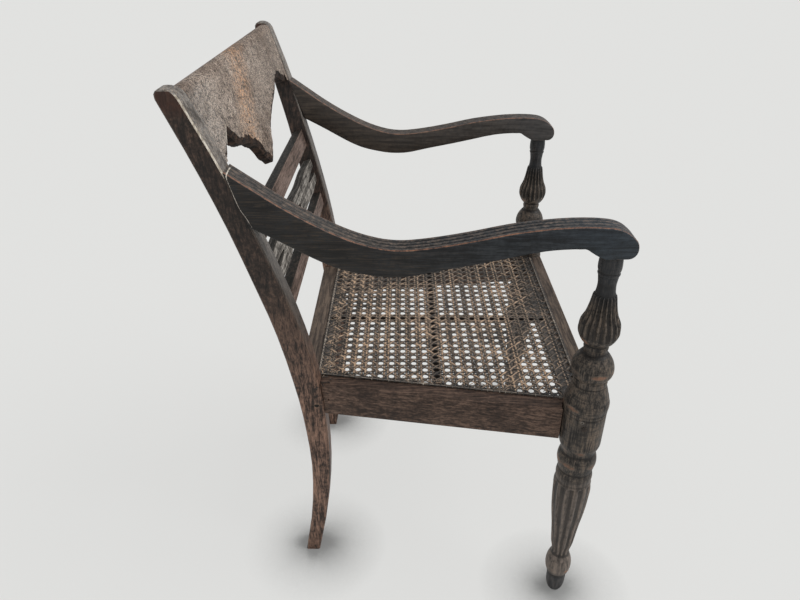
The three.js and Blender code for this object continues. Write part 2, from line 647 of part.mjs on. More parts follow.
const frontSidePeg = (side) => {
  const inner = halfSpacing - DRUM_RADIUS * PEG_INNER_SHARE;
  const outer = halfSpacing + DRUM_RADIUS * PEG_OUTER_SHARE;
  const y = DRUM_RADIUS * PEG_BACK_SHARE;
  return { x: (side * (inner + outer)) / 2, y, z: SEAT_HEIGHT - PEG_DROP, reach: outer - inner, along: 'x' };
};
const frontPeg = (side) => {
  const outer = -DRUM_RADIUS * PEG_FRONT_SHARE;
  const inner = frontRailMiddle + TENON_THICKNESS / 2 + GAP;
  const x = side * (frontTenonEnd - TENON_SHOULDER);
  return { x, y: (outer + inner) / 2, z: SEAT_HEIGHT - PEG_DROP * 2, reach: inner - outer, along: 'y' };
};
const rearSidePeg = (side) => {
  const z = (railTenonLow + railTenonMiddle) / 2;
  const outer = stileOuter(z);
  const inner = stileInner(z) + PEG_RADIUS;
  const y = stileFront(z) + TENON_LENGTH / 2;
  return { x: (side * (inner + outer)) / 2, y, z, reach: outer - inner, along: 'x' };
};
const rearPeg = (side) => {
  const z = (railTenonHigh + railTenonMiddle) / 2;
  const outer = stileBack(z);
  const inner = rearRailMiddle - TENON_THICKNESS / 2 - GAP;
  const x = side * (stileInner(z) + TENON_LENGTH / 2);
  return { x, y: (outer + inner) / 2, z, reach: outer - inner, along: 'y' };
};

// Cane
const caneHalfWidth = (y) => {
  const along = (y - railFront.y) / railRun.y;
  return railFront.x + railRun.x * along - CANE_MARGIN;
};
const caneFront = -FRONT_RAIL_FACE + CANE_MARGIN;
const caneRear = rearRailBack - CANE_REAR_MARGIN;
const caneLow = SEAT_HEIGHT + GAP;

function caneHole(x, y) {
  const half = (NET_PITCH - NET_STRAND) / 2;
  const cut = half * 2 * NET_CORNER_SHARE;
  const corners = [
    [half, cut - half], [half, half - cut], [half - cut, half], [cut - half, half],
    [-half, half - cut], [-half, cut - half], [cut - half, -half], [half - cut, -half],
  ];
  return new THREE.Path(corners.map(([dx, dy]) => new THREE.Vector2(x + dx, y + dy)));
}

function caneSolid() {
  const corners = [[-1, caneFront], [1, caneFront], [1, caneRear], [-1, caneRear]];
  const cornerAt = ([side, y]) => new THREE.Vector2(side * caneHalfWidth(y), y);
  const outline = new THREE.Shape(corners.map(cornerAt));
  const rows = Math.floor((caneRear - caneFront) / NET_PITCH);
  for (let row = 0; row < rows; row += 1) {
    const y = (caneFront + caneRear) / 2 + (row - (rows - 1) / 2) * NET_PITCH;
    const columns = Math.floor((caneHalfWidth(y + NET_PITCH / 2) * 2 - NET_STRAND) / NET_PITCH);
    for (let column = 0; column < columns; column += 1) {
      const x = (column - (columns - 1) / 2) * NET_PITCH;
      const beside = Math.hypot(halfSpacing - Math.abs(x), y) < drumReach + NET_PITCH;
      const atStile = Math.abs(x) > stileInner(SEAT_HEIGHT) - NET_PITCH && y > railRear.y - NET_PITCH;
      if (!beside && !atStile) outline.holes.push(caneHole(x, y));
    }
  }
  const geometry = new THREE.ExtrudeGeometry(outline, { depth: CANE_THICKNESS, bevelEnabled: false });
  geometry.translate(0, 0, caneLow);
  return aroundPosts(solidOf(geometry));
}

const aroundPosts = (solid) => [-1, 1].reduce((rest, side) => rest
  .subtract(legCutter(side, GAP))
  .subtract(stileSolid(side, { front: GAP, back: STILE_DEPTH, across: GAP })), solid);

const binderLow = caneLow + CANE_THICKNESS + GAP;
const binderPlace = BINDER_INSET + BINDER_WIDTH / 2;

function binderAcross(y) {
  const end = caneHalfWidth(y) - BINDER_INSET;
  return aroundPosts(bar(
    new THREE.Vector2(-end, y), new THREE.Vector2(end, y),
    BINDER_WIDTH, binderLow, binderLow + BINDER_THICKNESS,
  ));
}

function binderAlong(side) {
  const inset = BINDER_WIDTH + GAP;
  const from = caneFront + binderPlace + inset;
  const to = caneRear - binderPlace - inset;
  const place = (y) => new THREE.Vector2(side * (caneHalfWidth(y) - binderPlace), y);
  return aroundPosts(bar(place(from), place(to), BINDER_WIDTH, binderLow, binderLow + BINDER_THICKNESS));
}

const chair = new THREE.Group();

function add(name, solid, wood) {
  const material = new THREE.MeshStandardMaterial({ ...WOODS[wood], metalness: 0 });
  const mesh = new THREE.Mesh(geometryOf(solid), material);
  mesh.name = name;
  chair.add(mesh);
}

const sides = [['right', -1], ['left', 1]];

for (const [name, side] of sides) {
  const stile = [
    sideTenonRear(side, GAP), rearTenon(GAP), crestTenon(GAP), armTenon(side, GAP),
    backRailTenon(UPPER_RAIL_HEIGHT, upperRailLevel, GAP),
    backRailTenon(LOWER_RAIL_HEIGHT, lowerRailLevel, GAP),
    ...splatStubs(GAP), pegSolid(rearSidePeg(side), GAP), pegSolid(rearPeg(side), GAP),
  ].reduce((rest, cut) => rest.subtract(cut), stileSolid(side));
  add(`rear_leg_${name}`, stile, 'stile');

  const leg = [
    sideTenonFront(side, GAP), frontTenon(GAP),
    pegSolid(frontSidePeg(side), GAP), pegSolid(frontPeg(side), GAP),
  ].reduce((rest, cut) => rest.subtract(cut), legSolid(side));
  add(`front_leg_${name}`, leg, 'leg');

  const rail = sideRailSolid(side)
    .subtract(crossBatten(BATTEN_TENON, GAP))
    .subtract(pegSolid(frontSidePeg(side), GAP))
    .subtract(pegSolid(rearSidePeg(side), GAP));
  add(`side_rail_${name}`, rail, 'seatRail');
  add(`arm_${name}`, armSolid(side), 'arm');
  add(`front_side_peg_${name}`, pegSolid(frontSidePeg(side), 0), 'peg');
  add(`front_peg_${name}`, pegSolid(frontPeg(side), 0), 'peg');
  add(`rear_side_peg_${name}`, pegSolid(rearSidePeg(side), 0), 'peg');
  add(`rear_peg_${name}`, pegSolid(rearPeg(side), 0), 'peg');
  add(`cane_binder_${name}`, binderAlong(side), 'binder');
}

add('front_rail', [-1, 1].reduce(
  (rest, side) => rest.subtract(pegSolid(frontPeg(side), GAP)),
  frontRailSolid().subtract(longBatten(BATTEN_TENON, GAP)),
), 'seatRail');
add('rear_rail', [-1, 1].reduce(
  (rest, side) => rest.subtract(pegSolid(rearPeg(side), GAP)),
  rearRailSolid().subtract(longBatten(BATTEN_TENON, GAP)),
), 'seatRail');
add('batten_lengthwise', longBatten(BATTEN_TENON, 0), 'batten');
add('batten_crosswise', crossBatten(BATTEN_TENON, 0), 'batten');
add('crest_board', betweenStiles(crestSolid()).add(crestTenon(0)), 'crest');
add('upper_back_rail', backRailSolid(UPPER_RAIL_HEIGHT, upperRailLevel), 'backRail');
add('lower_back_rail', backRailSolid(LOWER_RAIL_HEIGHT, lowerRailLevel), 'backRail');
add('pierced_splat', splatSolid(), 'splat');
add('cane_seat', caneSolid(), 'cane');
add('cane_binder_front', binderAcross(caneFront + binderPlace), 'binder');
add('cane_binder_rear', binderAcross(caneRear - binderPlace), 'binder');

const middle = new THREE.Box3().setFromObject(chair).getCenter(new THREE.Vector3());
chair.position.set(-middle.x, -middle.y, 0);
chair.updateMatrixWorld(true);

export default chair;
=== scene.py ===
"""A colonial armchair of dark, long used hardwood with a woven cane seat, in a plain studio.

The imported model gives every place: each piece here is fitted to the boxes and surfaces of its node.
Lengths are in metres, +Z is up, and the sitter faces -Y.
"""

import math
import random

import bpy
from mathutils import Matrix, Vector
from mathutils.bvhtree import BVHTree


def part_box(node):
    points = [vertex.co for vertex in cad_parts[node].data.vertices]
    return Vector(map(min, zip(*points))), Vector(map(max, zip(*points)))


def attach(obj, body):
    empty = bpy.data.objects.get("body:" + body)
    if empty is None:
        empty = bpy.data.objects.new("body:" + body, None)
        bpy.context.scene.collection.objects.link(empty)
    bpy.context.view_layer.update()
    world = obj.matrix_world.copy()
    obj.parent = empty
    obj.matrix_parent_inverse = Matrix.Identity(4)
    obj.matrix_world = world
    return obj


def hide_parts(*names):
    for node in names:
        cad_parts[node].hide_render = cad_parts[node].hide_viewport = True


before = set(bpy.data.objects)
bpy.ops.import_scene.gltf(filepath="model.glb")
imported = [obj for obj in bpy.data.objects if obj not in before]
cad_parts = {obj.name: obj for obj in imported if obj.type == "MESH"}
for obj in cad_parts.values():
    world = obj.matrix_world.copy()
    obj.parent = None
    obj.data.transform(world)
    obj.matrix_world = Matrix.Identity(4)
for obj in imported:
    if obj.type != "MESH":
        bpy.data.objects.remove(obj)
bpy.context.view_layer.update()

MM = 0.001
SIDES = {"right": -1, "left": 1}

# Turned legs: each member is a run of (height, radius) in millimetres, with a crisp line between members
LOWER_MEMBERS = [
    [(0, 0.5), (0, 7), (1.5, 9.5), (5, 12), (12, 14.4), (20, 15.7), (34, 16.3), (46, 16.5)],
    [(47.5, 17.6), (49.5, 18.8), (52, 19.3)],
    [(53, 19.8), (58, 21.1), (66, 21.9), (73, 21.6), (80, 20.4), (86, 18.6), (91, 16.6)],
    [(93, 15.4), (99, 14.9), (106, 15.6), (113, 17), (121, 18.6), (140, 20.4), (165, 22.8), (190, 26),
     (210, 28.1), (232, 29.5), (250, 30.3), (258, 29.9), (264, 28.9)],
    [(266, 28.3), (268.5, 27.9), (271, 28.2)],
    [(272, 28.2), (277, 28.7), (282, 28.3), (287, 27.2)],
    [(289.5, 26.2), (293, 27.4), (300, 28.9), (307, 30.3), (313, 30.4), (320, 29.2), (325, 27.2)],
    [(327, 26.4), (331, 26.9), (335, 28.2), (340, 30.2), (345, 31.6)],
]
# the same above the seat, where heights count from the seat's top
UPPER_MEMBERS = [
    [(-58, 31.9), (-40, 32.1), (-20, 32.4), (-2, 32.4)],
    [(-1, 31.8), (1, 32.5), (4, 32.8)],
    [(5, 32.3), (9, 33.4), (14, 33.9), (19, 33.7), (23, 32.7)],
    [(24, 32), (30, 31), (35, 29.3), (41, 27.6), (46, 26), (48, 25)],
    [(49, 24.2), (52, 25), (57, 25.1), (61, 24.4)],
    [(62, 25.2), (64, 27), (68, 29.4), (73, 30.9), (78, 31.2), (84, 30.2), (90, 28.2), (96, 24.8),
     (103, 19.4)],
    [(104, 17.4), (107, 16.9), (110, 17)],
    [(111, 17.5), (114, 17.9), (117, 17.2), (119, 16.4)],
    [(120, 17.6), (122, 20.6), (126, 24), (130, 26.2), (134, 28), (138, 29.2), (143, 29.6), (150, 29),
     (155, 27.8), (160, 25.6), (165, 23.3), (172, 21.2), (180, 19.4), (188, 18), (194, 17), (198, 16)],
    [(199, 14.2), (205, 13.2), (214, 12.6), (222, 13.4), (228, 14.2)],
    [(229, 14.8), (231, 15.5), (233, 14.7)],
    [(234, 14.8), (238, 16), (245, 16.2), (252, 15.8), (258, 15.4)],
]
# where the reeds and the flutes run, how they fade out below and stop above, how deep and how many
REEDED_SPAN = (97 * MM, 262.5 * MM)
FLUTED_SPAN = (133 * MM, 198.6 * MM)
FADE_BELOW = 9 * MM
STOP_ABOVE = 1.2 * MM
REEDS = 12
FLUTES = 18
REED_DEPTH = 2.4 * MM
FLUTE_DEPTH = 2.8 * MM
RIDGE_SHARE = 0.24
# a cut leaves this much of the leg's core, and never takes more than this share of the radius
LEAST_CORE = 14 * MM
MOST_CUT_SHARE = 0.3
# places, each with its reach, where the turnings are rubbed down to brown wood
LOWER_RUBBED = [(60, 9), (309, 8), (336, 11)]
UPPER_RUBBED = [(14, 7), (61, 6), (77, 5), (128, 9)]
POINTS_AROUND = 180
RING_STEP = 5 * MM
# a ring that stands this much prouder than its neighbours is rubbed most
PROUD_RING = 0.9 * MM
# hand turned, so the left leg is a little slimmer above the seat
UPPER_GIRTH = {"right": 1.0, "left": 0.94}
# this far to the side of a leg's axis a ray clears the tenon and meets the arm's underside
BESIDE_TENON = 14 * MM

# Arms
ARM_STATIONS = 150
ARM_REEDS = 4
REED_POINTS = 10
ARM_REED_DEPTH = 1.7 * MM
ARM_EDGE = 2.2 * MM
# stations lie closer together towards the nose, by this power
TOWARDS_NOSE = 1.7
# the outline meets the stile this share of the arm's half width in from its middle
STILE_SIDE = 0.6
# the reeds end this many stations past the nose, and fade out over this many
REEDS_PAST_NOSE = 18
REEDS_FADE = 8
# the last stretch of each outline, which is run on straight to the stile in steps
STRAIGHT_END = 25 * MM
END_STEP = 2 * MM

# Cane: common six-way pattern, its pitch and the width of a split strand
CANE_PITCH = 18.4 * MM
STRAND_WIDTH = 4.1 * MM
DIAGONAL_WIDTH = 4.4 * MM
STRAND_THICKNESS = 0.72 * MM
PAIR_SPREAD = 2.9 * MM
PLAIN_LIFT = 0.4 * MM
DIAGONAL_LIFT = 0.74 * MM
STRAND_STEPS = 8
# a strand stops this far inside the seat's border, and wanders a little from its line
STRAND_INSET = 3 * MM
WANDER = 0.25 * MM
WAVER = 0.12 * MM
WIDTH_CHANGE = 0.08
# a strand's section: shares of its width and thickness, and how much lighter or darker its tone is there, a
# painted highlight on the crown and painted shade at the edges
STRAND_SECTION = [(-0.5, -0.5, -0.6), (-0.36, 0.22, -0.3), (0, 0.5, 0.34), (0.36, 0.22, -0.3),
                  (0.5, -0.5, -0.6)]
# where a pair's strands change levels, as shares of the pitch
CHANGES = (0.39, 0.61)
# the middle tone of each set, and how much its strands differ; the crosswise set is lighter than the
# lengthwise one partly as a painted highlight
LENGTHWISE_TONE = (0.3, 0.25)
CROSSWISE_TONE = (0.55, 0.34)
DIAGONAL_TONE = (0.5, 0.34)
PAIRS_BESIDE = 15
PAIRS_ALONG = 13
DIAGONALS_BESIDE = 40

# The grid's middle lies a little before the middle of the seat, and dirt gathers near its edges
GRID_SHIFT = -2 * MM
DIRTY_MARGIN = 44 * MM
CLEANER_SIDES = 3.2
# where the strands lie fuller and leave smaller holes: middle, reach and how much fuller
FULLER = ((Vector((0.09, 0.11)), 110 * MM, 0.75), (Vector((-0.06, -0.03)), 60 * MM, 0.45),
          (Vector((-0.11, 0.10)), 85 * MM, 0.25), (Vector((-0.06, -0.15)), 45 * MM, 0.5))
# loose ends: how many, how far in they start and how far they spread, how wide and how long
FRAYED = 420
FRAYED_INSET = 5 * MM
FRAYED_SPREAD = 24 * MM
FRAYED_WIDTH = 1.5 * MM
FRAYED_REACH = (2.5 * MM, 6.5 * MM)
FRAYED_RISE = 0.35 * MM
# the binding strand swells a little over each hole
BINDER_SHOWN = 3.2 * MM
BINDER_SWELL = 0.25 * MM
LOOP_WIDTH = 2 * MM
# a binding loop over the edge strand, as (reach across, rise) in millimetres
BINDING_LOOP = [(-2.6, -1.1), (-2.1, 0.1), (-0.9, 0.75), (0.9, 0.75), (2.1, 0.1), (2.6, -1.1)]

# Edges: sawn wood rubbed by use, and the splat, which is weathered rounder
WORN_EDGE = 1.6 * MM
SOFT_EDGE = 2.6 * MM

# Crest board: how far the front border of the break is splintered back, between which ends and below
# what, in swells of two lengths and small splinters, and the marks on its face
BREAK_REACH = (7 * MM, 13 * MM)
BREAK_INSET = 34 * MM
BREAK_SLACK = 6 * MM
BREAK_BELOW_TOP = 60 * MM
SWELLS = (4.3 * MM, 9.7 * MM)
SPLINTER = 0.5 * MM
# a point this near the face belongs to its border, and a facet is torn where its normal agrees with the
# face's by less than this
NEAR_FACE = 0.2 * MM
TORN_FACING = 0.985
CREST_HOLE = (Vector((-0.0964, 0.2425, 0.7904)), 2.3 * MM)
CREST_SPLIT = (Vector((-0.2034, 0.2512, 0.8150)), Vector((-0.2300, 0.2446, 0.7960)))
SPLIT_LIFT = 0.5 * MM
SPLIT_HALF_WIDTH = 1.1 * MM
# places along the joint of the right arm and its stile, from the top down, and the mark on the right drum
FILLER_RUN = [(-0.2760, 0.2325, 0.7785), (-0.2840, 0.2325, 0.7790), (-0.2915, 0.2325, 0.7782),
              (-0.2982, 0.2325, 0.7768), (-0.2995, 0.2322, 0.7710)]
JOINT_RUN = [(-0.2994, 0.2322, 0.7710), (-0.2994, 0.2285, 0.7579), (-0.2994, 0.2214, 0.7348),
             (-0.2994, 0.2138, 0.7207), (-0.2994, 0.2075, 0.7079)]
DRUM_MARK = (Vector((-0.3104, -0.2548, 0.4017)), Vector((-0.941, 0.337, 0)))
FILLER_THICKNESS = 0.85 * MM
JOINT_THICKNESS = 0.45 * MM
MARK_RADIUS = 2.2 * MM
MARK_THICKNESS = 0.6 * MM
HOLE_DEPTH = 16 * MM
RAIL_HOLE = (Vector((-0.2260, 0.1318, 0.3764)), 2.2 * MM)
STILE_HOLE = (Vector((-0.2177, 0.1507, 0.2267)), 1.6 * MM)

# Stiles: the front faces are bleached, with painted sheen over the bloom, above one level, and the right
# one's front corner carries a painted highlight above another
FACE_LEVEL = 745 * MM
WORN_HIGHLIGHT_LEVEL = 790 * MM

# Finishes, by the size of their marks: the grain is stretched along its axes, the streaks are this many times
# as broad as the pores, and a corner is rubbed this far from its edge
GRAIN_STRETCH = 14
LATHE_STRETCH = (1 / GRAIN_STRETCH, 1 / GRAIN_STRETCH, 1)
LATHE_LINE = 2.2 * MM
STREAK_SHARE = 3
# bands of a wave texture lie tau / 20 apart at a scale of 1
FIGURE_BAND = 3.57 * MM
GRIME_SIZE = 7 * MM
WORM_SIZE = 3.6 * MM
RUBBED_CORNER = 2.4 * MM
CANE_DIRT = 9 * MM
CANE_PATCHES = 70 * MM

# Studio: how far from a foot its shadow reaches on the floor
SHADOW_REACH = 125 * MM

# Camera
CAMERA_PLACE = Vector((-1.0932, 0.0179, 1.0461))
CAMERA_DROP = math.radians(29.16)
CAMERA_TURN = math.radians(-0.03)
CAMERA_ROLL = math.radians(0.42)
FOCAL_PIXELS = 670.8
IMAGE_WIDTH = 800


def linear(hex_value):
    """An sRGB hex colour as the linear RGBA that a socket takes."""
    parts = [((hex_value >> shift) & 255) / 255 for shift in (16, 8, 0)]
    return tuple(c / 12.92 if c <= 0.04045 else ((c + 0.055) / 1.055) ** 2.4 for c in parts) + (1.0,)


def add_node(tree, kind, inputs=None, output=0, stops=None, **settings):
    """Adds a shader node with its settings, its inputs as values or links, and a ramp's stops. Gives the
    output that is asked for."""
    made = tree.nodes.new("ShaderNode" + kind)
    for key, value in settings.items():
        setattr(made, key, value)
    if stops:
        ramp = made.color_ramp
        while len(ramp.elements) > 1:
            ramp.elements.remove(ramp.elements[-1])
        ramp.elements[0].position, ramp.elements[0].color = stops[0]
        for place, colour in stops[1:]:
            ramp.elements.new(place).color = colour
    for socket, value in (inputs or {}).items():
        if isinstance(value, bpy.types.NodeSocket):
            tree.links.new(value, made.inputs[socket])
        else:
            made.inputs[socket].default_value = value
    return made.outputs[output]


def new_material(name):
    """A material with its node tree and its surface shader."""
    material = bpy.data.materials.new(name)
    material.use_nodes = True
    tree = material.node_tree
    return material, tree, tree.nodes["Principled BSDF"]


def laid_over(tree, colour, layer, *masks):
    """Lays one colour over another, where every mask shows. A mask is a value, where it starts to show and
    where it shows in full, and then its least and its most."""
    share = None
    for value, start, full, *limits in masks:
        least, most = limits or (0.0, 1.0)
        shown = add_node(tree, "MapRange", {0: value, 1: start, 2: full, 3: least, 4: most})
        if share is None:
            share = shown
        else:
            share = add_node(tree, "Math", {0: share, 1: shown}, operation="MULTIPLY")
    return add_node(tree, "Mix", {0: share, 6: colour, 7: layer}, output=2, data_type="RGBA")


def shade(hex_value, share):
    """A colour made lighter or darker."""
    return tuple(channel * share for channel in linear(hex_value)[:3]) + (1.0,)


# Hardwood

def wood_marks(tree, grain, grain_size, patch_size):
    """The marks that every hardwood here shows, from broad patches down to its pores, and where they lie."""
    place = add_node(tree, "TexCoord", output="Object")
    stretch = [1 / GRAIN_STRETCH if axis in grain else 1.0 for axis in "XYZ"]
    fibres = add_node(tree, "Mapping", {"Vector": place, "Scale": stretch})
    marks = {"place": place, "fibres": fibres}
    for key, vector, size, detail, coarseness, bend in (
            ("patches", place, patch_size, 4.0, 0.6, 0.0),
            ("streaks", fibres, grain_size * STREAK_SHARE, 6.0, 0.65, 0.5),
            ("pores", fibres, grain_size, 3.0, 0.7, 0.0),
            ("grime", place, GRIME_SIZE, 5.0, 0.7, 0.0),
            ("worms", place, WORM_SIZE, 3.0, 0.6, 2.2)):
        marks[key] = add_node(tree, "TexNoise", {
            "Vector": vector, "Scale": 1 / size, "Detail": detail, "Roughness": coarseness,
            "Distortion": bend,
        })
    return marks


def figured(tree, colour, marks, figure):
    """A wavy grain that fades in along one axis."""
    hex_value, share, (axis, start, full) = figure
    waves = add_node(tree, "TexWave", {
        "Vector": marks["fibres"], "Scale": math.tau / 20 / FIGURE_BAND, "Distortion": 16.0, "Detail": 5.0,
        "Detail Scale": 1.3,
    }, output="Fac", bands_direction="Z")
    along = add_node(tree, "SeparateXYZ", {0: marks["place"]}, output=axis)
    return laid_over(tree, colour, linear(hex_value), (waves, 0.5, 0.95), (along, start, full, 0.0, share),
                     (marks["grime"], 0.35, 0.65), (marks["streaks"], 0.4, 0.6))


def lathe_lines(tree, colour, marks, dirt, faded):
    """The fine lines that a lathe leaves around a turned leg."""
    around = add_node(tree, "Mapping", {"Vector": marks["place"], "Scale": LATHE_STRETCH})
    lines = add_node(tree, "TexNoise", {
        "Vector": around, "Scale": 1 / LATHE_LINE, "Detail": 3.0, "Roughness": 0.7, "Distortion": 0.0,
    })
    colour = laid_over(tree, colour, dirt, (lines, 0.46, 0.36, 0.0, 0.65))
    return laid_over(tree, colour, faded, (lines, 0.56, 0.68, 0.0, 0.3))


def veiled(tree, colour, marks, veil):
    """A colour over the faces that look one way, or over all of them, fading in along one axis: dust and dirt
    on some pieces, painted shade, sheen and highlights on others.
    """
    hex_value, share, toward, fade = veil
    masks = [(marks["grime"], 0.3, 0.55, 0.55 * share, share)]
    if toward:
        normal = add_node(tree, "TexCoord", output="Normal")
        facing = add_node(tree, "VectorMath", {0: normal, 1: Vector(toward).normalized()}, output="Value",
                          operation="DOT_PRODUCT")
        masks.append((facing, 0.5, 0.86))
    if fade:
        axis, start, full = fade
        masks.append((add_node(tree, "SeparateXYZ", {0: marks["place"]}, output=axis), start, full))
    layer = laid_over(tree, shade(hex_value, 0.5), shade(hex_value, 1.35), (marks["streaks"], 0.36, 0.62))
    return laid_over(tree, colour, layer, *masks)


def banded(tree, colour, marks, band, warm):
    """A strip of warm speckles across the piece."""
    lengthways, offset, inner, outer = band
    off = add_node(tree, "VectorMath", {0: marks["place"], 1: lengthways}, output="Value",
                   operation="DOT_PRODUCT")
    off = add_node(tree, "Math", {0: off, 1: offset}, operation="ADD")
    off = add_node(tree, "Math", {0: off}, operation="ABSOLUTE")
    inside = add_node(tree, "MapRange", {0: off, 1: outer, 2: inner})
    broken = add_node(tree, "MapRange", {0: marks["grime"], 1: 0.4, 2: 0.62})
    strip = add_node(tree, "Math", {0: inside, 1: broken}, operation="MULTIPLY")
    return laid_over(tree, colour, warm, (strip, 0.0, 0.9, 0.12, 1.0), (marks["worms"], 0.49, 0.54))


def speckled(tree, colour, marks, speckle, band, dirt, bare):
    """Pale, worm-like bloom in patches, warm speckles along a band, and dark gaps between the worms."""
    colour = laid_over(tree, colour, linear(BLOOM) if band else bare, (marks["worms"], 0.53, 0.57),
                       (marks["patches"], 0.36, 0.62, 0.2 * speckle, speckle))
    if band:
        colour = banded(tree, colour, marks, band, bare)
    return laid_over(tree, colour, dirt, (marks["worms"], 0.46, 0.39, 0.0, speckle))


def rubbed_edges(tree):
    """How near a place is to a rubbed corner."""
    eased = add_node(tree, "Bevel", {"Radius": RUBBED_CORNER}, samples=6)
    flat = add_node(tree, "NewGeometry", output="Normal")
    along = add_node(tree, "VectorMath", {0: eased, 1: flat}, output="Value", operation="DOT_PRODUCT")
    return add_node(tree, "MapRange", {0: along, 1: 0.999, 2: 0.86})


def timber(name, colours, grain, grain_size, roughness, wear, patch_size=60 * MM, relief=1.0, veils=(),
           speckle=0.0, wear_share=0.9, figure=None, band=None, rubbed=None, turned=False):
    """Hardwood under old, rubbed polish. Its colours run from the dirt in the grain, through the polish,
    to the bare wood that shows where edges and ridges are rubbed. grain names the axes the marks follow.
    wear is edges, or ridges where a piece has its own ridge values, and rubbed is then the colour of the
    ridges that stand out most."""
    material, tree, surface = new_material(name)
    dirt, polish, faded, bare = (linear(value) for value in colours)
    marks = wood_marks(tree, grain, grain_size, patch_size)
    mottled = 0.0
    for key, weight in (("patches", 0.7), ("streaks", 1.3), ("grime", 0.7)):
        mottled = add_node(tree, "Math", {0: marks[key], 1: weight, 2: mottled}, operation="MULTIPLY_ADD")
    mottled = add_node(tree, "MapRange", {0: mottled, 1: 1.05, 2: 1.65})
    colour = add_node(tree, "ValToRGB", {0: mottled}, stops=[(0.2, dirt), (0.5, polish), (0.78, faded)])
    colour = laid_over(tree, colour, dirt, (marks["pores"], 0.5, 0.38, 0.0, 0.75))
    colour = laid_over(tree, colour, faded, (marks["pores"], 0.55, 0.68, 0.0, 0.5))
    if figure:
        colour = figured(tree, colour, marks, figure)
    if turned:
        colour = lathe_lines(tree, colour, marks, dirt, faded)
    for veil in veils:
        colour = veiled(tree, colour, marks, veil)
    if speckle > 0:
        colour = speckled(tree, colour, marks, speckle, band, dirt, bare)
    if wear == "ridges":
        edge = add_node(tree, "Attribute", output="Fac", attribute_name="ridge")
        colour = laid_over(tree, colour, dirt, (edge, 0.3, 0.05, 0.0, 0.75))
        colour = laid_over(tree, colour, faded, (edge, 0.55, 0.8, 0.0, 0.35))
        bare = laid_over(tree, bare, linear(rubbed), (edge, 0.68, 0.85))
    else:
        edge = rubbed_edges(tree)
    worn = add_node(tree, "Math", {0: marks["grime"], 1: edge}, operation="MULTIPLY")
    colour = laid_over(tree, colour, bare, (worn, 0.3, 0.62, 0.0, wear_share))
    tree.links.new(colour, surface.inputs["Base Color"])
    dulled = add_node(tree, "MapRange", {
        0: marks["grime"], 1: 0.3, 2: 0.7, 3: roughness - 0.09, 4: roughness + 0.12,
    })
    tree.links.new(dulled, surface.inputs["Roughness"])
    inputs = {}
    for key, depth in (("patches", 0.5 * MM), ("worms", 0.3 * MM), ("pores", 0.4 * MM), ("grime", 0.35 * MM)):
        inputs.update({"Height": marks[key], "Distance": depth * relief, "Strength": 0.6})
        inputs["Normal"] = add_node(tree, "Bump", inputs)
    tree.links.new(inputs["Normal"], surface.inputs["Normal"])
    surface.inputs["IOR"].default_value = 1.5
    surface.inputs["Specular IOR Level"].default_value = 0.28
    return material


# Rattan

def split_cane(name, *colours):
    """Peeled rattan, dulled and dirtied by use: each strand has its own tone, with a painted highlight on its
    crown and painted shade at its edges, and dirt lies across it. Its colours run from dirt to the bright
    skin."""
    material, tree, surface = new_material(name)
    place = add_node(tree, "TexCoord", output="Object")
    tone = add_node(tree, "Attribute", output="Fac", attribute_name="tone")
    dirtied = add_node(tree, "TexNoise", {
        "Vector": place, "Scale": 1 / CANE_DIRT, "Detail": 5.0, "Roughness": 0.75,
    })
    patches = add_node(tree, "TexNoise", {
        "Vector": place, "Scale": 1 / CANE_PATCHES, "Detail": 3.0, "Roughness": 0.5,
    })
    for layer in (dirtied, patches):
        tone = add_node(tree, "Math", {0: tone, 1: layer}, operation="ADD")
    share = add_node(tree, "MapRange", {0: tone, 1: 0.75, 2: 2.2})
    colour = add_node(tree, "ValToRGB", {0: share}, stops=[
        (level, linear(value)) for level, value in zip((0.12, 0.42, 0.68, 0.92), colours)
    ])
    bump = add_node(tree, "Bump", {"Height": dirtied, "Distance": 0.2 * MM, "Strength": 0.5})
    tree.links.new(colour, surface.inputs["Base Color"])
    tree.links.new(bump, surface.inputs["Normal"])
    surface.inputs["Roughness"].default_value = 0.55
    surface.inputs["IOR"].default_value = 1.5
    return material


# Finishes: a veil is its colour, its share, the way that its faces look or None for all of them, and None or
# (axis, where it starts, where it is full). Colours go from the dirt in the grain to the bare wood.

BLOOM = 0xC4B9AD
FRONTWARD = (0, -0.94, 0.34)
UPWARD = (0, 0, 1)

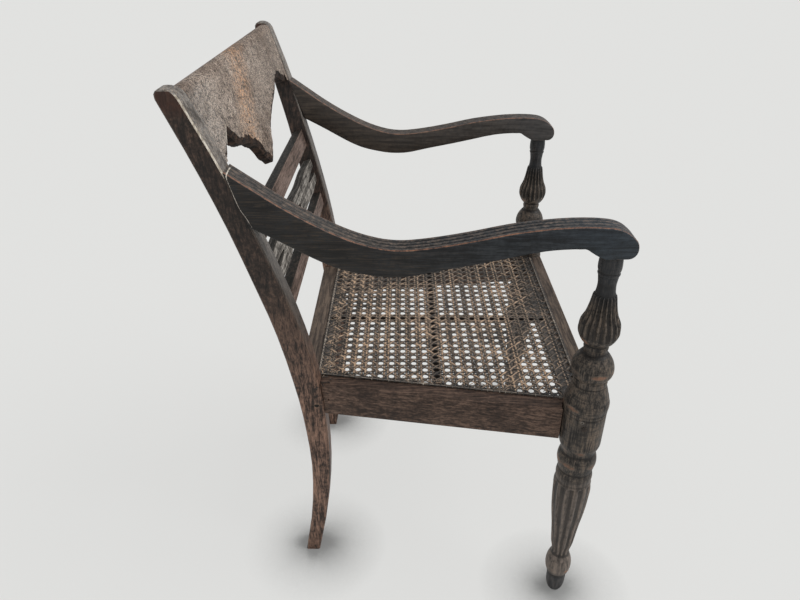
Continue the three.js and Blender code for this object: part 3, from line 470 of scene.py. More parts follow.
MATERIALS = {
    # black polish that has rubbed brown low down, with grey dust and painted sheen on the leaning front
    # faces, and a painted highlight in reddish brown just below the top
    "stile_wood": timber("Rosewood, black polish rubbed brown", (0x221812, 0x6E5548, 0x90715F, 0xB09076),
                         "Z", 1.5 * MM, 0.5, "edges", veils=(
                             (0x1A1613, 0.94, None, (2, 0.38, 0.6)),
                             # painted highlight: reddish brown on the faces that look to -X just below the
                             # top
                             (0x40281E, 0.8, (-1, 0, 0), (2, 0.846, 0.862)),
                             # dust and painted sheen: grey on the leaning front faces
                             (0x77716B, 0.9, FRONTWARD, (2, 0.45, 0.7)),
                         )),
    # the same grey bloom as on the board beside it, with painted sheen over it, so the two read as one face
    "stile_face_wood": timber("Grey bleached stile face, painted sheen", (0x3A342F, 0x76716C, 0x8C8781, 0xB9A28C),
                              "Z", 2.2 * MM, 0.5, "edges", 30 * MM, speckle=0.5, wear_share=0.5),
    # grain runs up the legs and lathe lines around them; reeds stand out grey, and rings brown where rubbed
    "turned_wood": timber("Turned rosewood, dull black polish", (0x151210, 0x443E38, 0x66594D, 0x7A6F65),
                          "Z", 1.6 * MM, 0.5, "ridges", 30 * MM, veils=(
                              (0x21262B, 0.85, None, (2, 0.585, 0.605)),
                              (0x8A7D74, 0.4, None, (2, 0.29, 0.25)),
                              (0x2B2F33, 0.85, None, (2, 0.056, 0.042)),
                          ), wear_share=0.9, rubbed=0x86604A, turned=True),
    # plain brown wood with no polish left, its open grain marked by darker streaks along each rail
    "seat_rail_wood": timber("Sawn rosewood, dry and brown", (0x2A1F19, 0x4E3D33, 0x6E584B, 0x94796A),
                             "Y", 1.2 * MM, 0.62, "edges", 110 * MM),
    # the same wood with its grain across the seat, and grey dust on top
    "cross_rail_wood": timber("Sawn rosewood rail, dry and brown", (0x1F1611, 0x55453A, 0x796654, 0x94796A),
                              "X", 1.5 * MM, 0.62, "edges", veils=((0x5A5048, 0.6, UPWARD, None),)),
    # black polish kept glossy by hands, under a bluish grey cast that is painted reflection, strongest
    # towards the nose, and browner and more open in the grain towards the back
    "arm_wood": timber("Carved rosewood, blue black polish", (0x0B0C0E, 0x1E2226, 0x2F3235, 0x8B7F73),
                       "Y", 1.8 * MM, 0.45, "ridges", 30 * MM, veils=(
                           (0x1C1712, 0.75, None, (1, -0.12, 0.06)),
                           # painted reflection: bluish grey towards the nose
                           (0x323A41, 0.6, None, (1, -0.16, -0.25)),
                           (0x54493F, 0.42, None, (0, 0.1, 0.2)),
                           (0x564F48, 0.3, (0, -0.3, 1), (1, 0.0, 0.12)),
                       ), wear_share=0.9, figure=(0x75604A, 0.8, (1, -0.1, 0.1)), rubbed=0x9A6A50),
    # polish gone to a pale grey bloom over brown wood, paler at the right end beside the stile, where sheen
    # is painted, dark on the rounded top and speckled with orange tan
    "crest_wood": timber("Grey bleached hardwood board", (0x2B221C, 0x7B6E64, 0x9B8E83, 0xE0AE84),
                         "", 2.6 * MM, 0.6, "edges", 60 * MM, 0.8, veils=(
                             # grey bloom and painted sheen: paler towards the right end, beside the stile
                             (0x989590, 0.6, None, (0, -0.16, -0.24)),
                             (0x5F564E, 0.6, None, (0, -0.02, 0.12)),
                             (0x5A493D, 0.85, None, (2, 0.866, 0.877)),
                         ), speckle=1.0, wear_share=0.3,
                         band=(Vector((0.70, 0, -0.714)), 0.6323, 8 * MM, 46 * MM)),
    # torn fibres, dark with old dirt and rough to the light
    "broken_wood": timber("Broken edge of old hardwood", (0x0D0A08, 0x2B201A, 0x4A382D, 0x7A6150),
                          "Y", 2.4 * MM, 0.85, "edges", 12 * MM, 2.0, wear_share=0.5),
    # red brown wood under dry dust, and painted shade, nearly black with a green tint, on the top faces
    "back_rail_wood": timber("Red brown hardwood rail, dusty", (0x35281F, 0x655249, 0x7E6B61, 0xA48C7C),
                             "X", 1.4 * MM, 0.68, "edges", veils=((0x171814, 0.98, UPWARD, None),)),
    # open, silvery weathered wood with deep dark cracks between its fibres, and painted shade on its top
    # faces
    "splat_wood": timber("Weathered grey hardwood", (0x211D19, 0x706A63, 0xA29C94, 0xAFA59A),
                         "X", 2.0 * MM, 0.78, "edges", 22 * MM, 2.2, veils=((0x24221F, 0.85, UPWARD, None),)),
    # never polished and always in shade, so nearly black
    "batten_wood": timber("Unpolished dark batten", (0x14100D, 0x2A221D, 0x3A3029, 0x55453A),
                          "Y", 1.6 * MM, 0.8, "edges"),
    # cut across the grain, which drinks the polish and stays dark
    "peg_wood": timber("Cut peg, end grain", (0x14110F, 0x2A2420, 0x40362F, 0x5A4A3C),
                       "Z", 1.2 * MM, 0.7, "edges"),
    # clean wood laid bare by a split, and dry filler, both far paler than the polish; also the painted
    # highlight along the right stile's worn front corner
    "pale_wood": timber("Fresh split wood, old filler and painted edge highlight", (0x8A7F70, 0xC4BAAA, 0xDDD5C8, 0xE6DFD3),
                        "Z", 1.2 * MM, 0.8, "edges"),
    # rattan gone grey brown under dirt, with orange where the glossy skin has been rubbed clean, and painted
    # highlight on the crowns of the strands
    "cane": split_cane("Split cane, darkened", 0x14110E, 0x453C33, 0x897563, 0xC9A888),
    # the wider strand along the edges, greyer, because nobody sits on it
    "cane_binder": split_cane("Binding cane, darkened", 0x211E1B, 0x4C4640, 0x7A6D60, 0xC9BBAA),
}


# Work on meshes

def deselect():
    """Goes back to object mode with nothing selected, because an operator acts on all that is selected."""
    if bpy.context.mode != "OBJECT":
        bpy.ops.object.mode_set(mode="OBJECT")
    bpy.ops.object.select_all(action="DESELECT")


def work_on(obj):
    """Selects one object alone."""
    deselect()
    obj.select_set(True)
    bpy.context.view_layer.objects.active = obj


def piece(name, vertices, faces):
    """Makes an object of points and faces, with its place in its mesh."""
    mesh = bpy.data.meshes.new(name)
    mesh.from_pydata([tuple(v) for v in vertices], [], faces)
    mesh.validate()
    obj = bpy.data.objects.new(name, mesh)
    bpy.context.scene.collection.objects.link(obj)
    return obj


def apply_modifier(obj, kind, **settings):
    work_on(obj)
    modifier = obj.modifiers.new(kind.title(), kind)
    for key, value in settings.items():
        setattr(modifier, key, value)
    bpy.ops.object.modifier_apply(modifier=modifier.name)


def dress(obj, slot, *nodes, smooth=math.radians(40), material=None):
    """Gives a finished piece its smoothing, finish and place on the frame."""
    work_on(obj)
    bpy.ops.object.shade_smooth_by_angle(angle=smooth)
    obj.data.materials.clear()
    obj.data.materials.append(MATERIALS[material or slot])
    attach(obj, "root")
    if nodes:
        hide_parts(*nodes)
    return obj


def tube_faces(rings, around, first=0):
    """The faces of a closed tube: rings of points, numbered from the first."""
    faces = []
    for ring in range(rings - 1):
        start = first + ring * around
        for i in range(around):
            a, b = start + i, start + (i + 1) % around
            faces.append((a, b, b + around, a + around))
    faces.append(tuple(first + i for i in reversed(range(around))))
    faces.append(tuple(first + (rings - 1) * around + i for i in range(around)))
    return faces


def keep_values(obj, name, values):
    """Keeps a value on each point, for the finish to read."""
    obj.data.attributes.new(name, "FLOAT", "POINT").data.foreach_set("value", values)


def face_outwards(obj, merge=0.0):
    """Turns a mesh's faces outwards, after merging the points that lie together."""
    work_on(obj)
    bpy.ops.object.mode_set(mode="EDIT")
    bpy.ops.mesh.select_all(action="SELECT")
    if merge:
        bpy.ops.mesh.remove_doubles(threshold=merge)
    bpy.ops.mesh.normals_make_consistent(inside=False)
    bpy.ops.object.mode_set(mode="OBJECT")


def copy_of(node, name):
    """A merged copy of a CAD node, with its flat faces made whole again."""
    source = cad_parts[node]
    obj = bpy.data.objects.new(name, source.data.copy())
    bpy.context.scene.collection.objects.link(obj)
    work_on(obj)
    bpy.ops.object.mode_set(mode="EDIT")
    bpy.ops.mesh.select_all(action="SELECT")
    bpy.ops.mesh.remove_doubles(threshold=0.02 * MM)
    bpy.ops.mesh.dissolve_limited(angle_limit=math.radians(0.8))
    bpy.ops.mesh.customdata_custom_splitnormals_clear()
    bpy.ops.object.mode_set(mode="OBJECT")
    return obj


def eased_piece(node, name, edge, slot, material=None):
    """A CAD node's shape with its corners rubbed round."""
    obj = copy_of(node, name)
    apply_modifier(obj, "BEVEL", width=edge, segments=3, limit_method="ANGLE",
                   angle_limit=math.radians(32), harden_normals=False, use_clamp_overlap=True)
    return dress(obj, slot, node, material=material)


def drilled(obj, place, radius, along):
    """Drills a blind hole into a piece, along a direction."""
    deselect()
    bpy.ops.mesh.primitive_cylinder_add(vertices=20, radius=radius, depth=HOLE_DEPTH, location=place)
    drill = bpy.context.object
    drill.rotation_mode = "QUATERNION"
    drill.rotation_quaternion = Vector(along).to_track_quat("Z", "Y")
    apply_modifier(obj, "BOOLEAN", object=drill, operation="DIFFERENCE", solver="EXACT")
    bpy.data.objects.remove(drill)


def smooth_run(points, steps):
    """Points on a smooth curve through a run of points."""
    if len(points) < 3:
        return list(points)
    ends = [2 * Vector(points[0]) - Vector(points[1]), 2 * Vector(points[-1]) - Vector(points[-2])]
    run = [ends[0], *map(Vector, points), ends[1]]
    made = []
    for i in range(1, len(run) - 2):
        for step in range(steps):
            t = step / steps
            a, b, c, d = run[i - 1], run[i], run[i + 1], run[i + 2]
            made.append(0.5 * (2 * b + (c - a) * t + (2 * a - 5 * b + 4 * c - d) * t * t
                               + (3 * b - a - 3 * c + d) * t ** 3))
    made.append(run[-2])
    return made


def surface_of(node):
    """The surface of a CAD node, to find places on it."""
    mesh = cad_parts[node].data
    return BVHTree.FromPolygons([v.co for v in mesh.vertices], [p.vertices for p in mesh.polygons])


# Crest: the front border of its break is splintered back, so the dark broken wood shows below the face

def crest():
    """The board with its splintered break, the hole through its face and a pale split in its right end."""
    obj = copy_of("crest_board", "crest")
    low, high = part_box("crest_board")
    chance = random.Random(5)
    face = max((p for p in obj.data.polygons if p.normal.y < -0.8 and p.normal.z > 0.1), key=lambda p: p.area)
    normal = face.normal.copy()
    origin = obj.data.vertices[face.vertices[0]].co.copy()
    slope = Vector((0, normal.z, -normal.y))
    end = (high.x - low.x) / 2 - BREAK_INSET
    broken_below = high.z - BREAK_BELOW_TOP
    work_on(obj)
    bpy.ops.object.mode_set(mode="EDIT")
    bpy.ops.mesh.select_all(action="DESELECT")
    bpy.ops.object.mode_set(mode="OBJECT")
    for edge in obj.data.edges:
        a, b = (obj.data.vertices[i].co for i in edge.vertices)
        level = abs((a - b).dot(normal)) < 0.5 * (a - b).length
        within = max(abs(a.x), abs(b.x)) < end + BREAK_SLACK
        edge.select = level and within and max(a.z, b.z) < broken_below
    bpy.ops.object.mode_set(mode="EDIT")
    bpy.ops.mesh.subdivide(number_cuts=3)
    bpy.ops.object.mode_set(mode="OBJECT")
    for vertex in obj.data.vertices:
        if vertex.co.z < broken_below and abs(vertex.co.x) < end:
            on_face = abs((vertex.co - origin).dot(normal)) < NEAR_FACE
            swell = math.sin(vertex.co.x / SWELLS[0]) * math.sin(vertex.co.x / SWELLS[1] + 1)
            least, most = BREAK_REACH
            reach = least + (most - least) * (0.5 + 0.5 * swell) if on_face else 0.0
            vertex.co += slope * (reach + chance.uniform(-SPLINTER, SPLINTER))
    dress(obj, "crest_wood", "crest_board")
    drilled(obj, *CREST_HOLE, normal)
    obj.data.materials.append(MATERIALS["broken_wood"])
    for polygon in obj.data.polygons:
        torn = abs(polygon.normal.dot(normal)) < TORN_FACING
        if torn and abs(polygon.center.x) < end + BREAK_SLACK and polygon.center.z < broken_below:
            polygon.material_index = 1
    start, finish = CREST_SPLIT
    lift, width = normal * SPLIT_LIFT, Vector((SPLIT_HALF_WIDTH, 0, 0))
    middle = (start + finish) / 2
    corners = [start, middle - width, finish, middle + width]
    sliver = piece("crest_split", [c + lift for c in corners] + [c - lift for c in corners], [
        (0, 1, 2, 3), (7, 6, 5, 4), (0, 4, 5, 1), (1, 5, 6, 2), (2, 6, 7, 3), (3, 7, 4, 0),
    ])
    dress(sliver, "crest_wood", material="pale_wood")


# Stiles: their front faces carry the board's grey bloom with painted sheen, and the right one has a painted
# highlight along its worn front corner

def stile(side_name):
    """One plank from the floor to the crest. Only the right one has a small hole in its side."""
    obj = eased_piece(f"rear_leg_{side_name}", f"sabre_leg_{side_name}", WORN_EDGE, "stile_wood")
    if side_name == "right":
        drilled(obj, *STILE_HOLE, Vector((1, 0, 0)))
    obj.data.materials.append(MATERIALS["stile_face_wood"])
    obj.data.materials.append(MATERIALS["pale_wood"])
    for polygon in obj.data.polygons:
        level, toward = polygon.center.z, polygon.normal
        # painted highlight: the right stile's worn front corner takes the pale finish above one level
        corner = side_name == "right" and -0.8 < toward.x < -0.6 and toward.y < -0.2
        # front and top faces above one level take the grey face finish: bloom with painted sheen
        if level > FACE_LEVEL and (toward.y < -0.6 and abs(toward.x) < 0.4 or toward.z > 0.6):
            polygon.material_index = 1
        elif level > WORN_HIGHLIGHT_LEVEL and corner:
            polygon.material_index = 2


# Marks: old filler and a pale line along the right arm's joint, and a round mark on the right front leg

def bead(name, run, thickness, unevenness):
    """A thin, uneven bead along a run of places."""
    chance = random.Random(9)
    places = smooth_run(run, 8)
    vertices, around = [], 8
    for k, place in enumerate(places):
        before, after = places[max(0, k - 1)], places[min(len(places) - 1, k + 1)]
        turned = (after - before).to_track_quat("Z", "Y")
        reach = thickness * chance.uniform(1 - unevenness, 1 + unevenness)
        for i in range(around):
            turn = math.tau * i / around
            vertices.append(place + turned @ Vector((math.cos(turn), math.sin(turn), 0)) * reach)
    return piece(name, vertices, tube_faces(len(places), around))


def marks():
    """Small things that long use has left on the arm's joint and on the leg's drum."""
    dress(bead("old_filler", FILLER_RUN, FILLER_THICKNESS, 0.6), "arm_wood", material="pale_wood")
    dress(bead("joint_line", JOINT_RUN, JOINT_THICKNESS, 0.5), "arm_wood", material="splat_wood")
    place, outward = DRUM_MARK
    deselect()
    bpy.ops.mesh.primitive_torus_add(location=place, major_radius=MARK_RADIUS, minor_radius=MARK_THICKNESS,
                                     rotation=outward.to_track_quat("Z", "Y").to_euler())
    ring = bpy.context.object
    ring.name = "round_mark"
    bpy.ops.object.transform_apply(location=True, rotation=True, scale=True)
    dress(ring, "turned_wood", material="splat_wood")


# Front legs: turned in one piece, with reeds below the seat and flutes above it

def flute_cut(height, turn, spans):
    """How deep the reeds or flutes cut at a height and a turn round the leg, and how near it is to a ridge,
    or None where there are no reeds or flutes."""
    for (low, high), depth, number in spans:
        if low < height < high:
            share = min(1.0, (height - low) / FADE_BELOW, (high - height) / STOP_ABOVE)
            across = abs((turn * number / math.tau) % 1 * 2 - 1)
            hollow = max(0.0, 1 - across / (1 - RIDGE_SHARE))
            cut = math.sqrt(1 - (1 - hollow) ** 2)
            return depth * math.sqrt(share) * cut, 1 - cut
    return 0.0, None


def leg_profile(side_name, seat, upper_scale):
    """The (height, radius) of each ring of a leg, from the floor up."""
    rings = [(max(0.0, v[0]) * MM, v[1] * MM) for member in LOWER_MEMBERS for v in smooth_run(member, 3)]
    for member in UPPER_MEMBERS:
        for v in smooth_run(member, 3):
            scale, girth = (upper_scale, UPPER_GIRTH[side_name]) if v[0] > 0 else (1.0, 1.0)
            rings.append((seat + v[0] * MM * scale, v[1] * MM * girth))
    finer = []
    for (h0, r0), (h1, r1) in zip(rings, rings[1:]):
        parts = max(1, math.ceil((h1 - h0) / RING_STEP))
        finer += [(h0 + (h1 - h0) * k / parts, r0 + (r1 - r0) * k / parts) for k in range(parts)]
    return finer + rings[-1:]


def turned_leg(side_name):
    """A leg made ring by ring, because its flutes fade out along its length."""
    low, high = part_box(f"front_leg_{side_name}")
    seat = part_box("front_rail")[1].z
    axis = Vector(((low.x + high.x) / 2, (low.y + high.y) / 2, 0))
    beside_tenon = Vector((axis.x + BESIDE_TENON * SIDES[side_name], axis.y, seat))
    top = surface_of(f"arm_{side_name}").ray_cast(beside_tenon, Vector((0, 0, 1)))[0].z
    upper_scale = (top - seat) / (UPPER_MEMBERS[-1][-1][0] * MM)
    profile = leg_profile(side_name, seat, upper_scale)
    fluted = (seat + FLUTED_SPAN[0] * upper_scale, seat + FLUTED_SPAN[1] * upper_scale)
    spans = [(REEDED_SPAN, REED_DEPTH, REEDS), (fluted, FLUTE_DEPTH, FLUTES)]
    rubbed_places = [(z * MM, reach * MM) for z, reach in LOWER_RUBBED]
    rubbed_places += [(seat + z * MM * upper_scale, reach * MM) for z, reach in UPPER_RUBBED]
    vertices, ridges = [], []
    for k, (height, radius) in enumerate(profile):
        near = [r for _, r in profile[max(0, k - 4):k + 5]]
        proud = (radius - sum(near) / len(near)) / PROUD_RING
        rubbed = max(0.0, *(1 - abs(height - z) / reach for z, reach in rubbed_places))
        for i in range(POINTS_AROUND):
            turn = math.tau * i / POINTS_AROUND
            cut, ridge = flute_cut(height, turn, spans)
            reach = radius - min(cut, max(0.0, radius - LEAST_CORE), radius * MOST_CUT_SHARE)
            vertices.append(axis + Vector((math.cos(turn) * reach, math.sin(turn) * reach, height)))
            patchy = 0.45 + 0.8 * math.sin(1.7 * turn + height * 90) * math.sin(4 * turn + height * 35)
            if ridge is None:
                ridge = 0.33 + min(0.25, 0.4 * proud) + 0.6 * rubbed * max(0.0, patchy)
            else:
                ridge *= 0.66
            ridges.append(min(1.0, max(0.0, ridge)))
    obj = piece(f"turned_leg_{side_name}", vertices, tube_faces(len(profile), POINTS_AROUND))
    keep_values(obj, "ridge", ridges)
    dress(obj, "turned_wood", f"front_leg_{side_name}", smooth=math.radians(50))


# Arms: four reeds run along the top and over the scrolled front end

def resample(points, count):
    """Points at equal steps along a run."""
    lengths = [0.0]
    for a, b in zip(points, points[1:]):
        lengths.append(lengths[-1] + (b - a).length)
    made, j = [], 0
    for i in range(count):
        target = lengths[-1] * i / (count - 1)
        while j < len(points) - 2 and lengths[j + 1] < target:
            j += 1
        span = lengths[j + 1] - lengths[j] or 1.0
        made.append(points[j].lerp(points[j + 1], min(1.0, (target - lengths[j]) / span)))
    return made


def arm_outline(side_name):
    """The arm from the side: its middle, its width, its top and its underside, both from the nose back, and
    the surface of the stile behind it."""
    low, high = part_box(f"arm_{side_name}")
    axis = (low.x + high.x) / 2
    solid = surface_of(f"arm_{side_name}")
    stile = surface_of(f"rear_leg_{side_name}")
    reed = (high.x - low.x) / ARM_REEDS
    front, down, up = low.y + 0.05 * MM, Vector((0, 0, -1)), Vector((0, 0, 1))
    back = stile.ray_cast(Vector((axis, front, high.z - 20 * MM)), Vector((0, 1, 0)))[0].y
    top, under = [], []
    for i in range(ARM_STATIONS):
        share = i / (ARM_STATIONS - 1)
        y = front + (back - front) * share ** TOWARDS_NOSE
        over = solid.ray_cast(Vector((axis + reed / 2, y, high.z + 1)), down)[0]
        below = solid.ray_cast(Vector((axis + BESIDE_TENON * SIDES[side_name], y, low.z - 1)), up)[0]
        if over:
            top.append(Vector((y, over.z)))
        if below:
            under.append(Vector((y, below.z)))
    return axis, high.x - low.x, top, under, stile


def to_stile(points, stile, axis):
    """Runs the last stretch of an outline on to the front of the stile."""
    points = [p for p in points if p.x < points[-1].x - STRAIGHT_END]
    step = (points[-1] - points[-4]) / 3
    place = points[-1].copy()
    for _ in range(60):
        place = place + step * (END_STEP / step.length)
        hit = stile.ray_cast(Vector((axis, place.x - 0.2, place.y)), Vector((0, 1, 0)))[0]
        if hit and hit.y <= place.x + 0.3 * MM:
            break
        points.append(place.copy())
    return points


def arm(side_name):
    """A loop of rows across the arm, with the reeds cut into its top, closed at both sides."""
    axis, width, top, under, stile = arm_outline(side_name)
    half = width / 2
    inner = axis - SIDES[side_name] * half * STILE_SIDE
    top, under = (to_stile(points, stile, inner) for points in (top, under))
    nose = (top[0] + under[0]) / 2
    top, under = (resample([nose, *smooth_run(points[::3], 6)], ARM_STATIONS) for points in (top, under))
    loop = [*reversed(top), *under[1:]]
    centre = len(top) - 1
    across = []
    count = ARM_REEDS * REED_POINTS
    for i in range(count + 1):
        share = (i % REED_POINTS) / REED_POINTS * 2 - 1
        cut = ARM_REED_DEPTH * (1 - math.sqrt(max(0.0, 1 - share ** 2))) if 0 < i < count else ARM_REED_DEPTH
        across.append((-half + width * i / count, cut))
    vertices, ridges = [], []
    for k, place in enumerate(loop):
        before, after = loop[max(0, k - 1)], loop[min(len(loop) - 1, k + 1)]
        along = (after - before).normalized()
        inward = Vector((-along.y, along.x))
        reeded = min(1.0, max(0.0, (centre + REEDS_PAST_NOSE - k) / REEDS_FADE))
        for x, cut in across:
            edge = max(0.0, ARM_EDGE - (half - abs(x)))
            rounding = ARM_EDGE - math.sqrt(max(0.0, ARM_EDGE ** 2 - edge ** 2))
            depth = cut * reeded + rounding * (1 - reeded)
            point = place + inward * depth
            vertices.append(Vector((axis + x, point.x, point.y)))
            ridges.append(0.74 * reeded * (1 - cut / ARM_REED_DEPTH) ** 0.5 + (0.35 if edge > 0 else 0.0))
    faces = []
    row = len(across)
    for k in range(len(loop) - 1):
        for i in range(row - 1):
            a = k * row + i
            faces.append((a, a + 1, a + 1 + row, a + row))
    for k in range(centre):
        opposite = len(loop) - 1 - k
        for i, turn in ((0, 1), (row - 1, -1)):
            quad = [k * row + i, (k + 1) * row + i, (opposite - 1) * row + i, opposite * row + i]
            if quad[1] == quad[2]:
                quad.pop(2)
            faces.append(tuple(quad[::turn]))
    for i in range(row - 1):
        last = (len(loop) - 1) * row
        faces.append((i, last + i, last + i + 1, i + 1))
    obj = piece(f"carved_arm_{side_name}", vertices, faces)
    keep_values(obj, "ridge", ridges)
    face_outwards(obj, merge=0.01 * MM)
    dress(obj, "arm_wood", f"arm_{side_name}", smooth=math.radians(48))


# Cane

SEAT_LOW, SEAT_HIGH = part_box("cane_seat")
CANE_MIDDLE = SEAT_LOW.z + DIAGONAL_LIFT + STRAND_THICKNESS / 2
CANE_POINTS = [v.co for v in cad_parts["cane_seat"].data.vertices]
CANE_REAR_HALF = max(p.x for p in CANE_POINTS if p.y > SEAT_HIGH.y - 4 * MM)


def cane_half_width(y):
    """Half the width of the cane at a place from front to back."""
    share = (y - SEAT_LOW.y) / (SEAT_HIGH.y - SEAT_LOW.y)
    return SEAT_HIGH.x + (CANE_REAR_HALF - SEAT_HIGH.x) * share


def wave(place, levels):
    """A strand's height: it eases from one crossing's level to the next, given as (place, level) in turn."""
    for (a, level_a), (b, level_b) in zip(levels, levels[1:]):
        if a <= place <= b:
            t = (place - a) / (b - a)
            return level_a + (level_b - level_a) * (3 * t * t - 2 * t ** 3)
    return levels[-1][1]


def strand(taken, points, width, across, tone):
    """Adds one split strand to a piece's others: a flat back and a crowned face, along a run of points."""
    vertices, faces, tones = taken
    faces += tube_faces(len(points), len(STRAND_SECTION), len(vertices))
    for point in points:
        beside = (cane_half_width(point.y) - abs(point.x)) * CLEANER_SIDES
        inside = min(point.y - SEAT_LOW.y, (SEAT_HIGH.y - point.y) * CLEANER_SIDES, beside)
        dirt = 0.5 * max(0.0, 1 - inside / DIRTY_MARGIN) ** 0.6
        fuller = 1 + sum(gain * max(0.0, 1 - (point.xy - middle).length / reach) ** 0.5
                         for middle, reach, gain in FULLER)
        # each point's tone carries the painted highlight on the crown and the painted shade at the edges
        for share, rise, painted_light in STRAND_SECTION:
            vertices.append(point + across * width * fuller * share + Vector((0, 0, STRAND_THICKNESS * rise)))
            tones.append(tone - dirt + painted_light)


def caned(name, taken, slot, node):
    """Makes one piece of all its strands, with the tone of each kept on its points."""
    vertices, faces, tones = taken
    obj = piece(name, vertices, faces)
    keep_values(obj, "tone", tones)
    face_outwards(obj)
    dress(obj, slot, node, smooth=math.radians(50))


def frayed_ends(taken, chance):
    """Short loose ends that lie this way and that over the border of the weave."""
    for _ in range(FRAYED):
        inset = FRAYED_INSET + FRAYED_SPREAD * chance.random() ** 1.6
        y = chance.uniform(SEAT_LOW.y + 6 * MM, SEAT_HIGH.y - 6 * MM)
        half = cane_half_width(y)
        x = chance.choice((-1, 1)) * (half - inset)
        if chance.random() < 0.45:
            x = chance.uniform(8 * MM - half, half - 8 * MM)
            y = SEAT_LOW.y + inset if chance.random() < 0.5 else SEAT_HIGH.y - inset
        turn = chance.uniform(0, math.pi)
        along = Vector((math.cos(turn), math.sin(turn), 0)) * chance.uniform(*FRAYED_REACH)
        beside = Vector((-along.y, along.x, 0))
        bend = beside * chance.uniform(-0.3, 0.3)
        middle = Vector((x, y, CANE_MIDDLE + PLAIN_LIFT))
        rise = Vector((0, 0, FRAYED_RISE))
        run = [middle - along - rise, middle + bend + rise, middle + along]
        strand(taken, run, FRAYED_WIDTH, beside.normalized(), 0.75 + chance.uniform(-0.3, 0.45))


def weave():
    """The six-way weave: pairs from front to back and from side to side, and two sets of diagonals.
    The diagonals cross each other midway between the crossings of the pairs."""
    chance = random.Random(11)
    mid_y = (SEAT_LOW.y + SEAT_HIGH.y) / 2 + GRID_SHIFT
    front, back = SEAT_LOW.y + STRAND_INSET, SEAT_HIGH.y - STRAND_INSET
    step = CANE_PITCH / STRAND_STEPS
    sets = {name: ([], [], []) for name in ("lengthwise", "crosswise", "diagonal_left", "diagonal_right")}

    def varied(middle, spread):
        return middle + chance.uniform(-spread, spread)

    def paired(which):
        return [(0, 0), (CHANGES[0], which), (CHANGES[1], -which), (1, 0)]

    def laid(name, points, width, across, tone):
        if len(points) > 2:
            strand(sets[name], points, width * varied(1, WIDTH_CHANGE), across, tone)

    for i in range(-PAIRS_BESIDE, PAIRS_BESIDE):
        for which in (-1, 1):
            x = varied((i + 0.5) * CANE_PITCH + which * PAIR_SPREAD, WANDER)
            tone = varied(*LENGTHWISE_TONE)
            if abs(x) > cane_half_width(SEAT_LOW.y) - STRAND_INSET:
                continue
            end = back
            if abs(x) > CANE_REAR_HALF - STRAND_INSET:
                taper = (SEAT_HIGH.x - CANE_REAR_HALF) / (SEAT_HIGH.y - SEAT_LOW.y)
                end = SEAT_LOW.y + (SEAT_HIGH.x - STRAND_INSET - abs(x)) / taper
            points, y = [], front
            while y < end:
                lift = wave(((y - mid_y) / CANE_PITCH) % 1.0, paired(-which)) * PLAIN_LIFT
                points.append(Vector((x + WAVER * math.sin(y * 300 + i), y, CANE_MIDDLE + lift)))
                y += step
            laid("lengthwise", points, STRAND_WIDTH, Vector((-1, 0, 0)), tone)
    for j in range(-PAIRS_ALONG, PAIRS_ALONG):
        row_y = mid_y + (j + 0.5) * CANE_PITCH
        for which in (-1, 1):
            y = varied(row_y + which * PAIR_SPREAD, WANDER)
            if not front < y < back:
                continue
            # painted highlight, in part: the crosswise strands' lighter tone
            tone = varied(*CROSSWISE_TONE)
            end = cane_half_width(y) - STRAND_INSET
            points, x = [], -end
            while x < end:
                lift = wave((x / CANE_PITCH) % 1.0, paired(which)) * PLAIN_LIFT
                points.append(Vector((x, y + WAVER * math.sin(x * 290 + row_y * 50), CANE_MIDDLE + lift)))
                x += step
            laid("crosswise", points, STRAND_WIDTH, Vector((0, 1, 0)), tone)
    for name, lean in (("diagonal_left", 1), ("diagonal_right", -1)):
        across = Vector((-1, lean, 0)).normalized() * lean
        for k in range(-DIAGONALS_BESIDE, DIAGONALS_BESIDE + 1):
            tone = varied(*DIAGONAL_TONE)
            points, y = [], front
            while y < back:
                x = lean * (y - mid_y) + (k + 0.5) * CANE_PITCH
                if abs(x) < cane_half_width(y) - STRAND_INSET:
                    phase = ((y - mid_y) / CANE_PITCH) % 1.0
                    lift = wave(phase, [(0, -lean), (0.5, lean), (1, -lean)]) * DIAGONAL_LIFT
                    points.append(Vector((x, y, CANE_MIDDLE + lift)))
                elif points:
                    break
                y += step
            laid(name, points, DIAGONAL_WIDTH, across, tone)
    frayed_ends(sets["crosswise"], chance)
    for name, taken in sets.items():
        caned(f"cane_{name}", taken, "cane", "cane_seat")


def binder(name, node, start, end):
    """A binding strand along the edge of the cane, held down by a small loop at each hole."""
    low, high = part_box(node)
    height = (low.z + high.z) / 2
    run = end - start
    along = run.normalized()
    across = Vector((-along.y, along.x, 0))
    chance = random.Random(len(node) * 7)
    taken = ([], [], [])
    count = max(2, round(run.length / (CANE_PITCH / 4)))
    points = []
    for k in range(count + 1):
        swell = BINDER_SWELL * abs(math.sin(k * math.pi / 4))
        points.append(start + run * k / count + Vector((0, 0, height + swell)))
    strand(taken, points, BINDER_SHOWN, across, 1.0)
    holes = round(run.length / (CANE_PITCH / 2))
    for k in range(1, holes):
        middle = start + run * k / holes + Vector((0, 0, height))
        loop = [middle + across * MM * reach + Vector((0, 0, MM * rise)) for reach, rise in BINDING_LOOP]
        strand(taken, loop, LOOP_WIDTH, along, 0.8 + chance.uniform(-0.4, 0.4))
    caned(name, taken, "cane_binder", node)


def binders():
    """The four binding strands, each along the middle of its node."""
    for node in ("cane_binder_front", "cane_binder_rear"):
        low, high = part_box(node)
        y = (low.y + high.y) / 2
        binder(node.replace("cane_", "bound_"), node, Vector((low.x, y, 0)), Vector((high.x, y, 0)))
    for side_name, side in SIDES.items():
        node = f"cane_binder_{side_name}"
        low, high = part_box(node)
        ends = sorted([abs(low.x), abs(high.x)])
        start = Vector((side * (ends[1] - 2 * MM), low.y, 0))
        end = Vector((side * (ends[0] + 2 * MM), high.y, 0))
        binder(node.replace("cane_", "bound_"), node, start, end)


# Studio: a plain light backdrop under two soft lamps

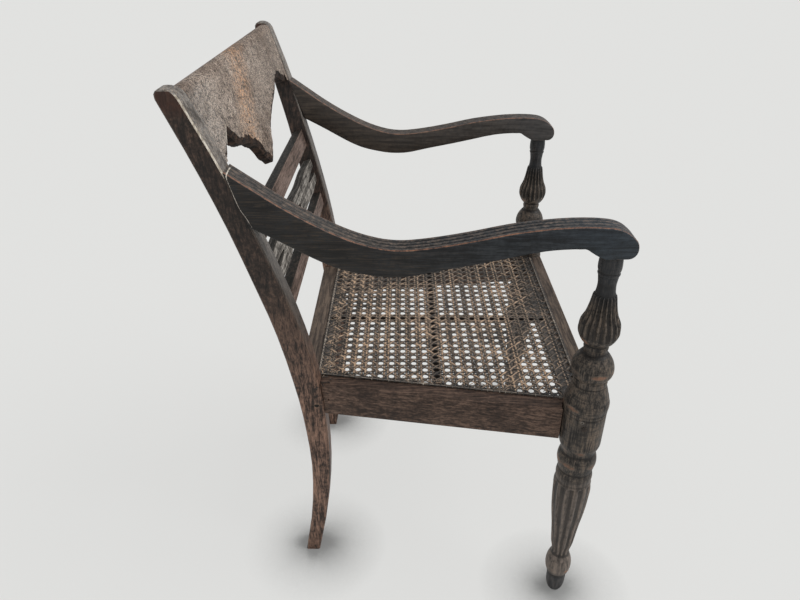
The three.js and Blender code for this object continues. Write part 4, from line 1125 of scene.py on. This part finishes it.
def studio():
    """A floor, a backdrop that only the camera sees, and two soft lamps."""
    backdrop = linear(0xE1E1DF)
    bpy.ops.mesh.primitive_plane_add(size=60, location=(0, 0, 0))
    floor = bpy.context.object
    floor.name = "studio_floor"
    # matt paper that glows as light as the backdrop, so only the soft shadows at the feet tell them apart
    material, tree, surface = new_material("Matt studio floor")
    surface.inputs["Base Color"].default_value = linear(0x6E6E6D)
    surface.inputs["Roughness"].default_value = 1.0
    surface.inputs["Specular IOR Level"].default_value = 0.0
    surface.inputs["Emission Color"].default_value = backdrop
    open_share = add_node(tree, "AmbientOcclusion", {"Distance": SHADOW_REACH}, output="AO", samples=12)
    painted_light = add_node(tree, "MapRange", {0: open_share, 1: 0.82, 2: 0.975, 3: 0.2, 4: 0.81})
    tree.links.new(painted_light, surface.inputs["Emission Strength"])
    floor.data.materials.append(material)

    world = bpy.data.worlds.new("Studio")
    bpy.context.scene.world = world
    world.use_nodes = True
    tree = world.node_tree
    ground = tree.nodes["Background"]
    ground.inputs["Color"].default_value = linear(0xF2F4F6)
    ground.inputs["Strength"].default_value = 0.6
    shown = add_node(tree, "Background", {"Color": backdrop, "Strength": 1.0})
    seen = add_node(tree, "LightPath", output="Is Camera Ray")
    both = add_node(tree, "MixShader", {0: seen, 1: ground.outputs[0], 2: shown})
    tree.links.new(both, tree.nodes["World Output"].inputs["Surface"])

    # each lamp's direction, strength and softness in degrees
    lamps = (("Key", (0.02, 0.7, -0.7), 1.5, 46), ("Fill", (0.8, 0.1, -0.6), 0.35, 80))
    for name, toward, strength, softness in lamps:
        lamp = bpy.data.lights.new(name, "SUN")
        lamp.energy = strength
        lamp.angle = math.radians(softness)
        holder = bpy.data.objects.new(name, lamp)
        holder.rotation_mode = "QUATERNION"
        holder.rotation_quaternion = Vector(toward).to_track_quat("-Z", "Y")
        bpy.context.scene.collection.objects.link(holder)


# Camera

def camera():
    """The view from the chair's right side, looking down, with a small turn and roll."""
    lens = bpy.data.cameras.new("Camera")
    lens.sensor_width = 36
    lens.lens = FOCAL_PIXELS * lens.sensor_width / IMAGE_WIDTH
    lens.clip_start = 0.05
    holder = bpy.data.objects.new("Camera", lens)
    bpy.context.scene.collection.objects.link(holder)
    flat = math.cos(CAMERA_DROP)
    ahead = Vector((math.cos(CAMERA_TURN) * flat, math.sin(CAMERA_TURN) * flat, -math.sin(CAMERA_DROP)))
    level = ahead.to_track_quat("-Z", "Y")
    holder.rotation_mode = "QUATERNION"
    holder.rotation_quaternion = level @ Matrix.Rotation(CAMERA_ROLL, 3, "Z").to_quaternion()
    holder.location = CAMERA_PLACE
    bpy.context.scene.camera = holder


def build():
    """Dresses every piece of the chair, and gives the pegs' own meshes their finish."""
    for side_name in SIDES:
        turned_leg(side_name)
        arm(side_name)
        stile(side_name)
        rail = eased_piece(f"side_rail_{side_name}", f"seat_rail_{side_name}", WORN_EDGE, "seat_rail_wood")
        if side_name == "right":
            drilled(rail, *RAIL_HOLE, Vector((1, 0, 0)))
        for kind in ("front_side_peg", "front_peg", "rear_side_peg", "rear_peg"):
            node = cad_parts[f"{kind}_{side_name}"]
            node.data.materials.clear()
            node.data.materials.append(MATERIALS["peg_wood"])
    eased_piece("front_rail", "seat_rail_front", WORN_EDGE, "seat_rail_wood", "cross_rail_wood")
    eased_piece("rear_rail", "seat_rail_rear", WORN_EDGE, "seat_rail_wood", "cross_rail_wood")
    eased_piece("batten_lengthwise", "seat_batten_lengthwise", WORN_EDGE, "batten_wood")
    eased_piece("batten_crosswise", "seat_batten_crosswise", WORN_EDGE, "batten_wood")
    crest()
    marks()
    eased_piece("upper_back_rail", "back_rail_upper", WORN_EDGE, "back_rail_wood")
    eased_piece("lower_back_rail", "back_rail_lower", WORN_EDGE, "back_rail_wood")
    eased_piece("pierced_splat", "splat", SOFT_EDGE, "splat_wood")
    weave()
    binders()


build()
studio()
camera()
bpy.context.scene.view_settings.view_transform = "Standard"
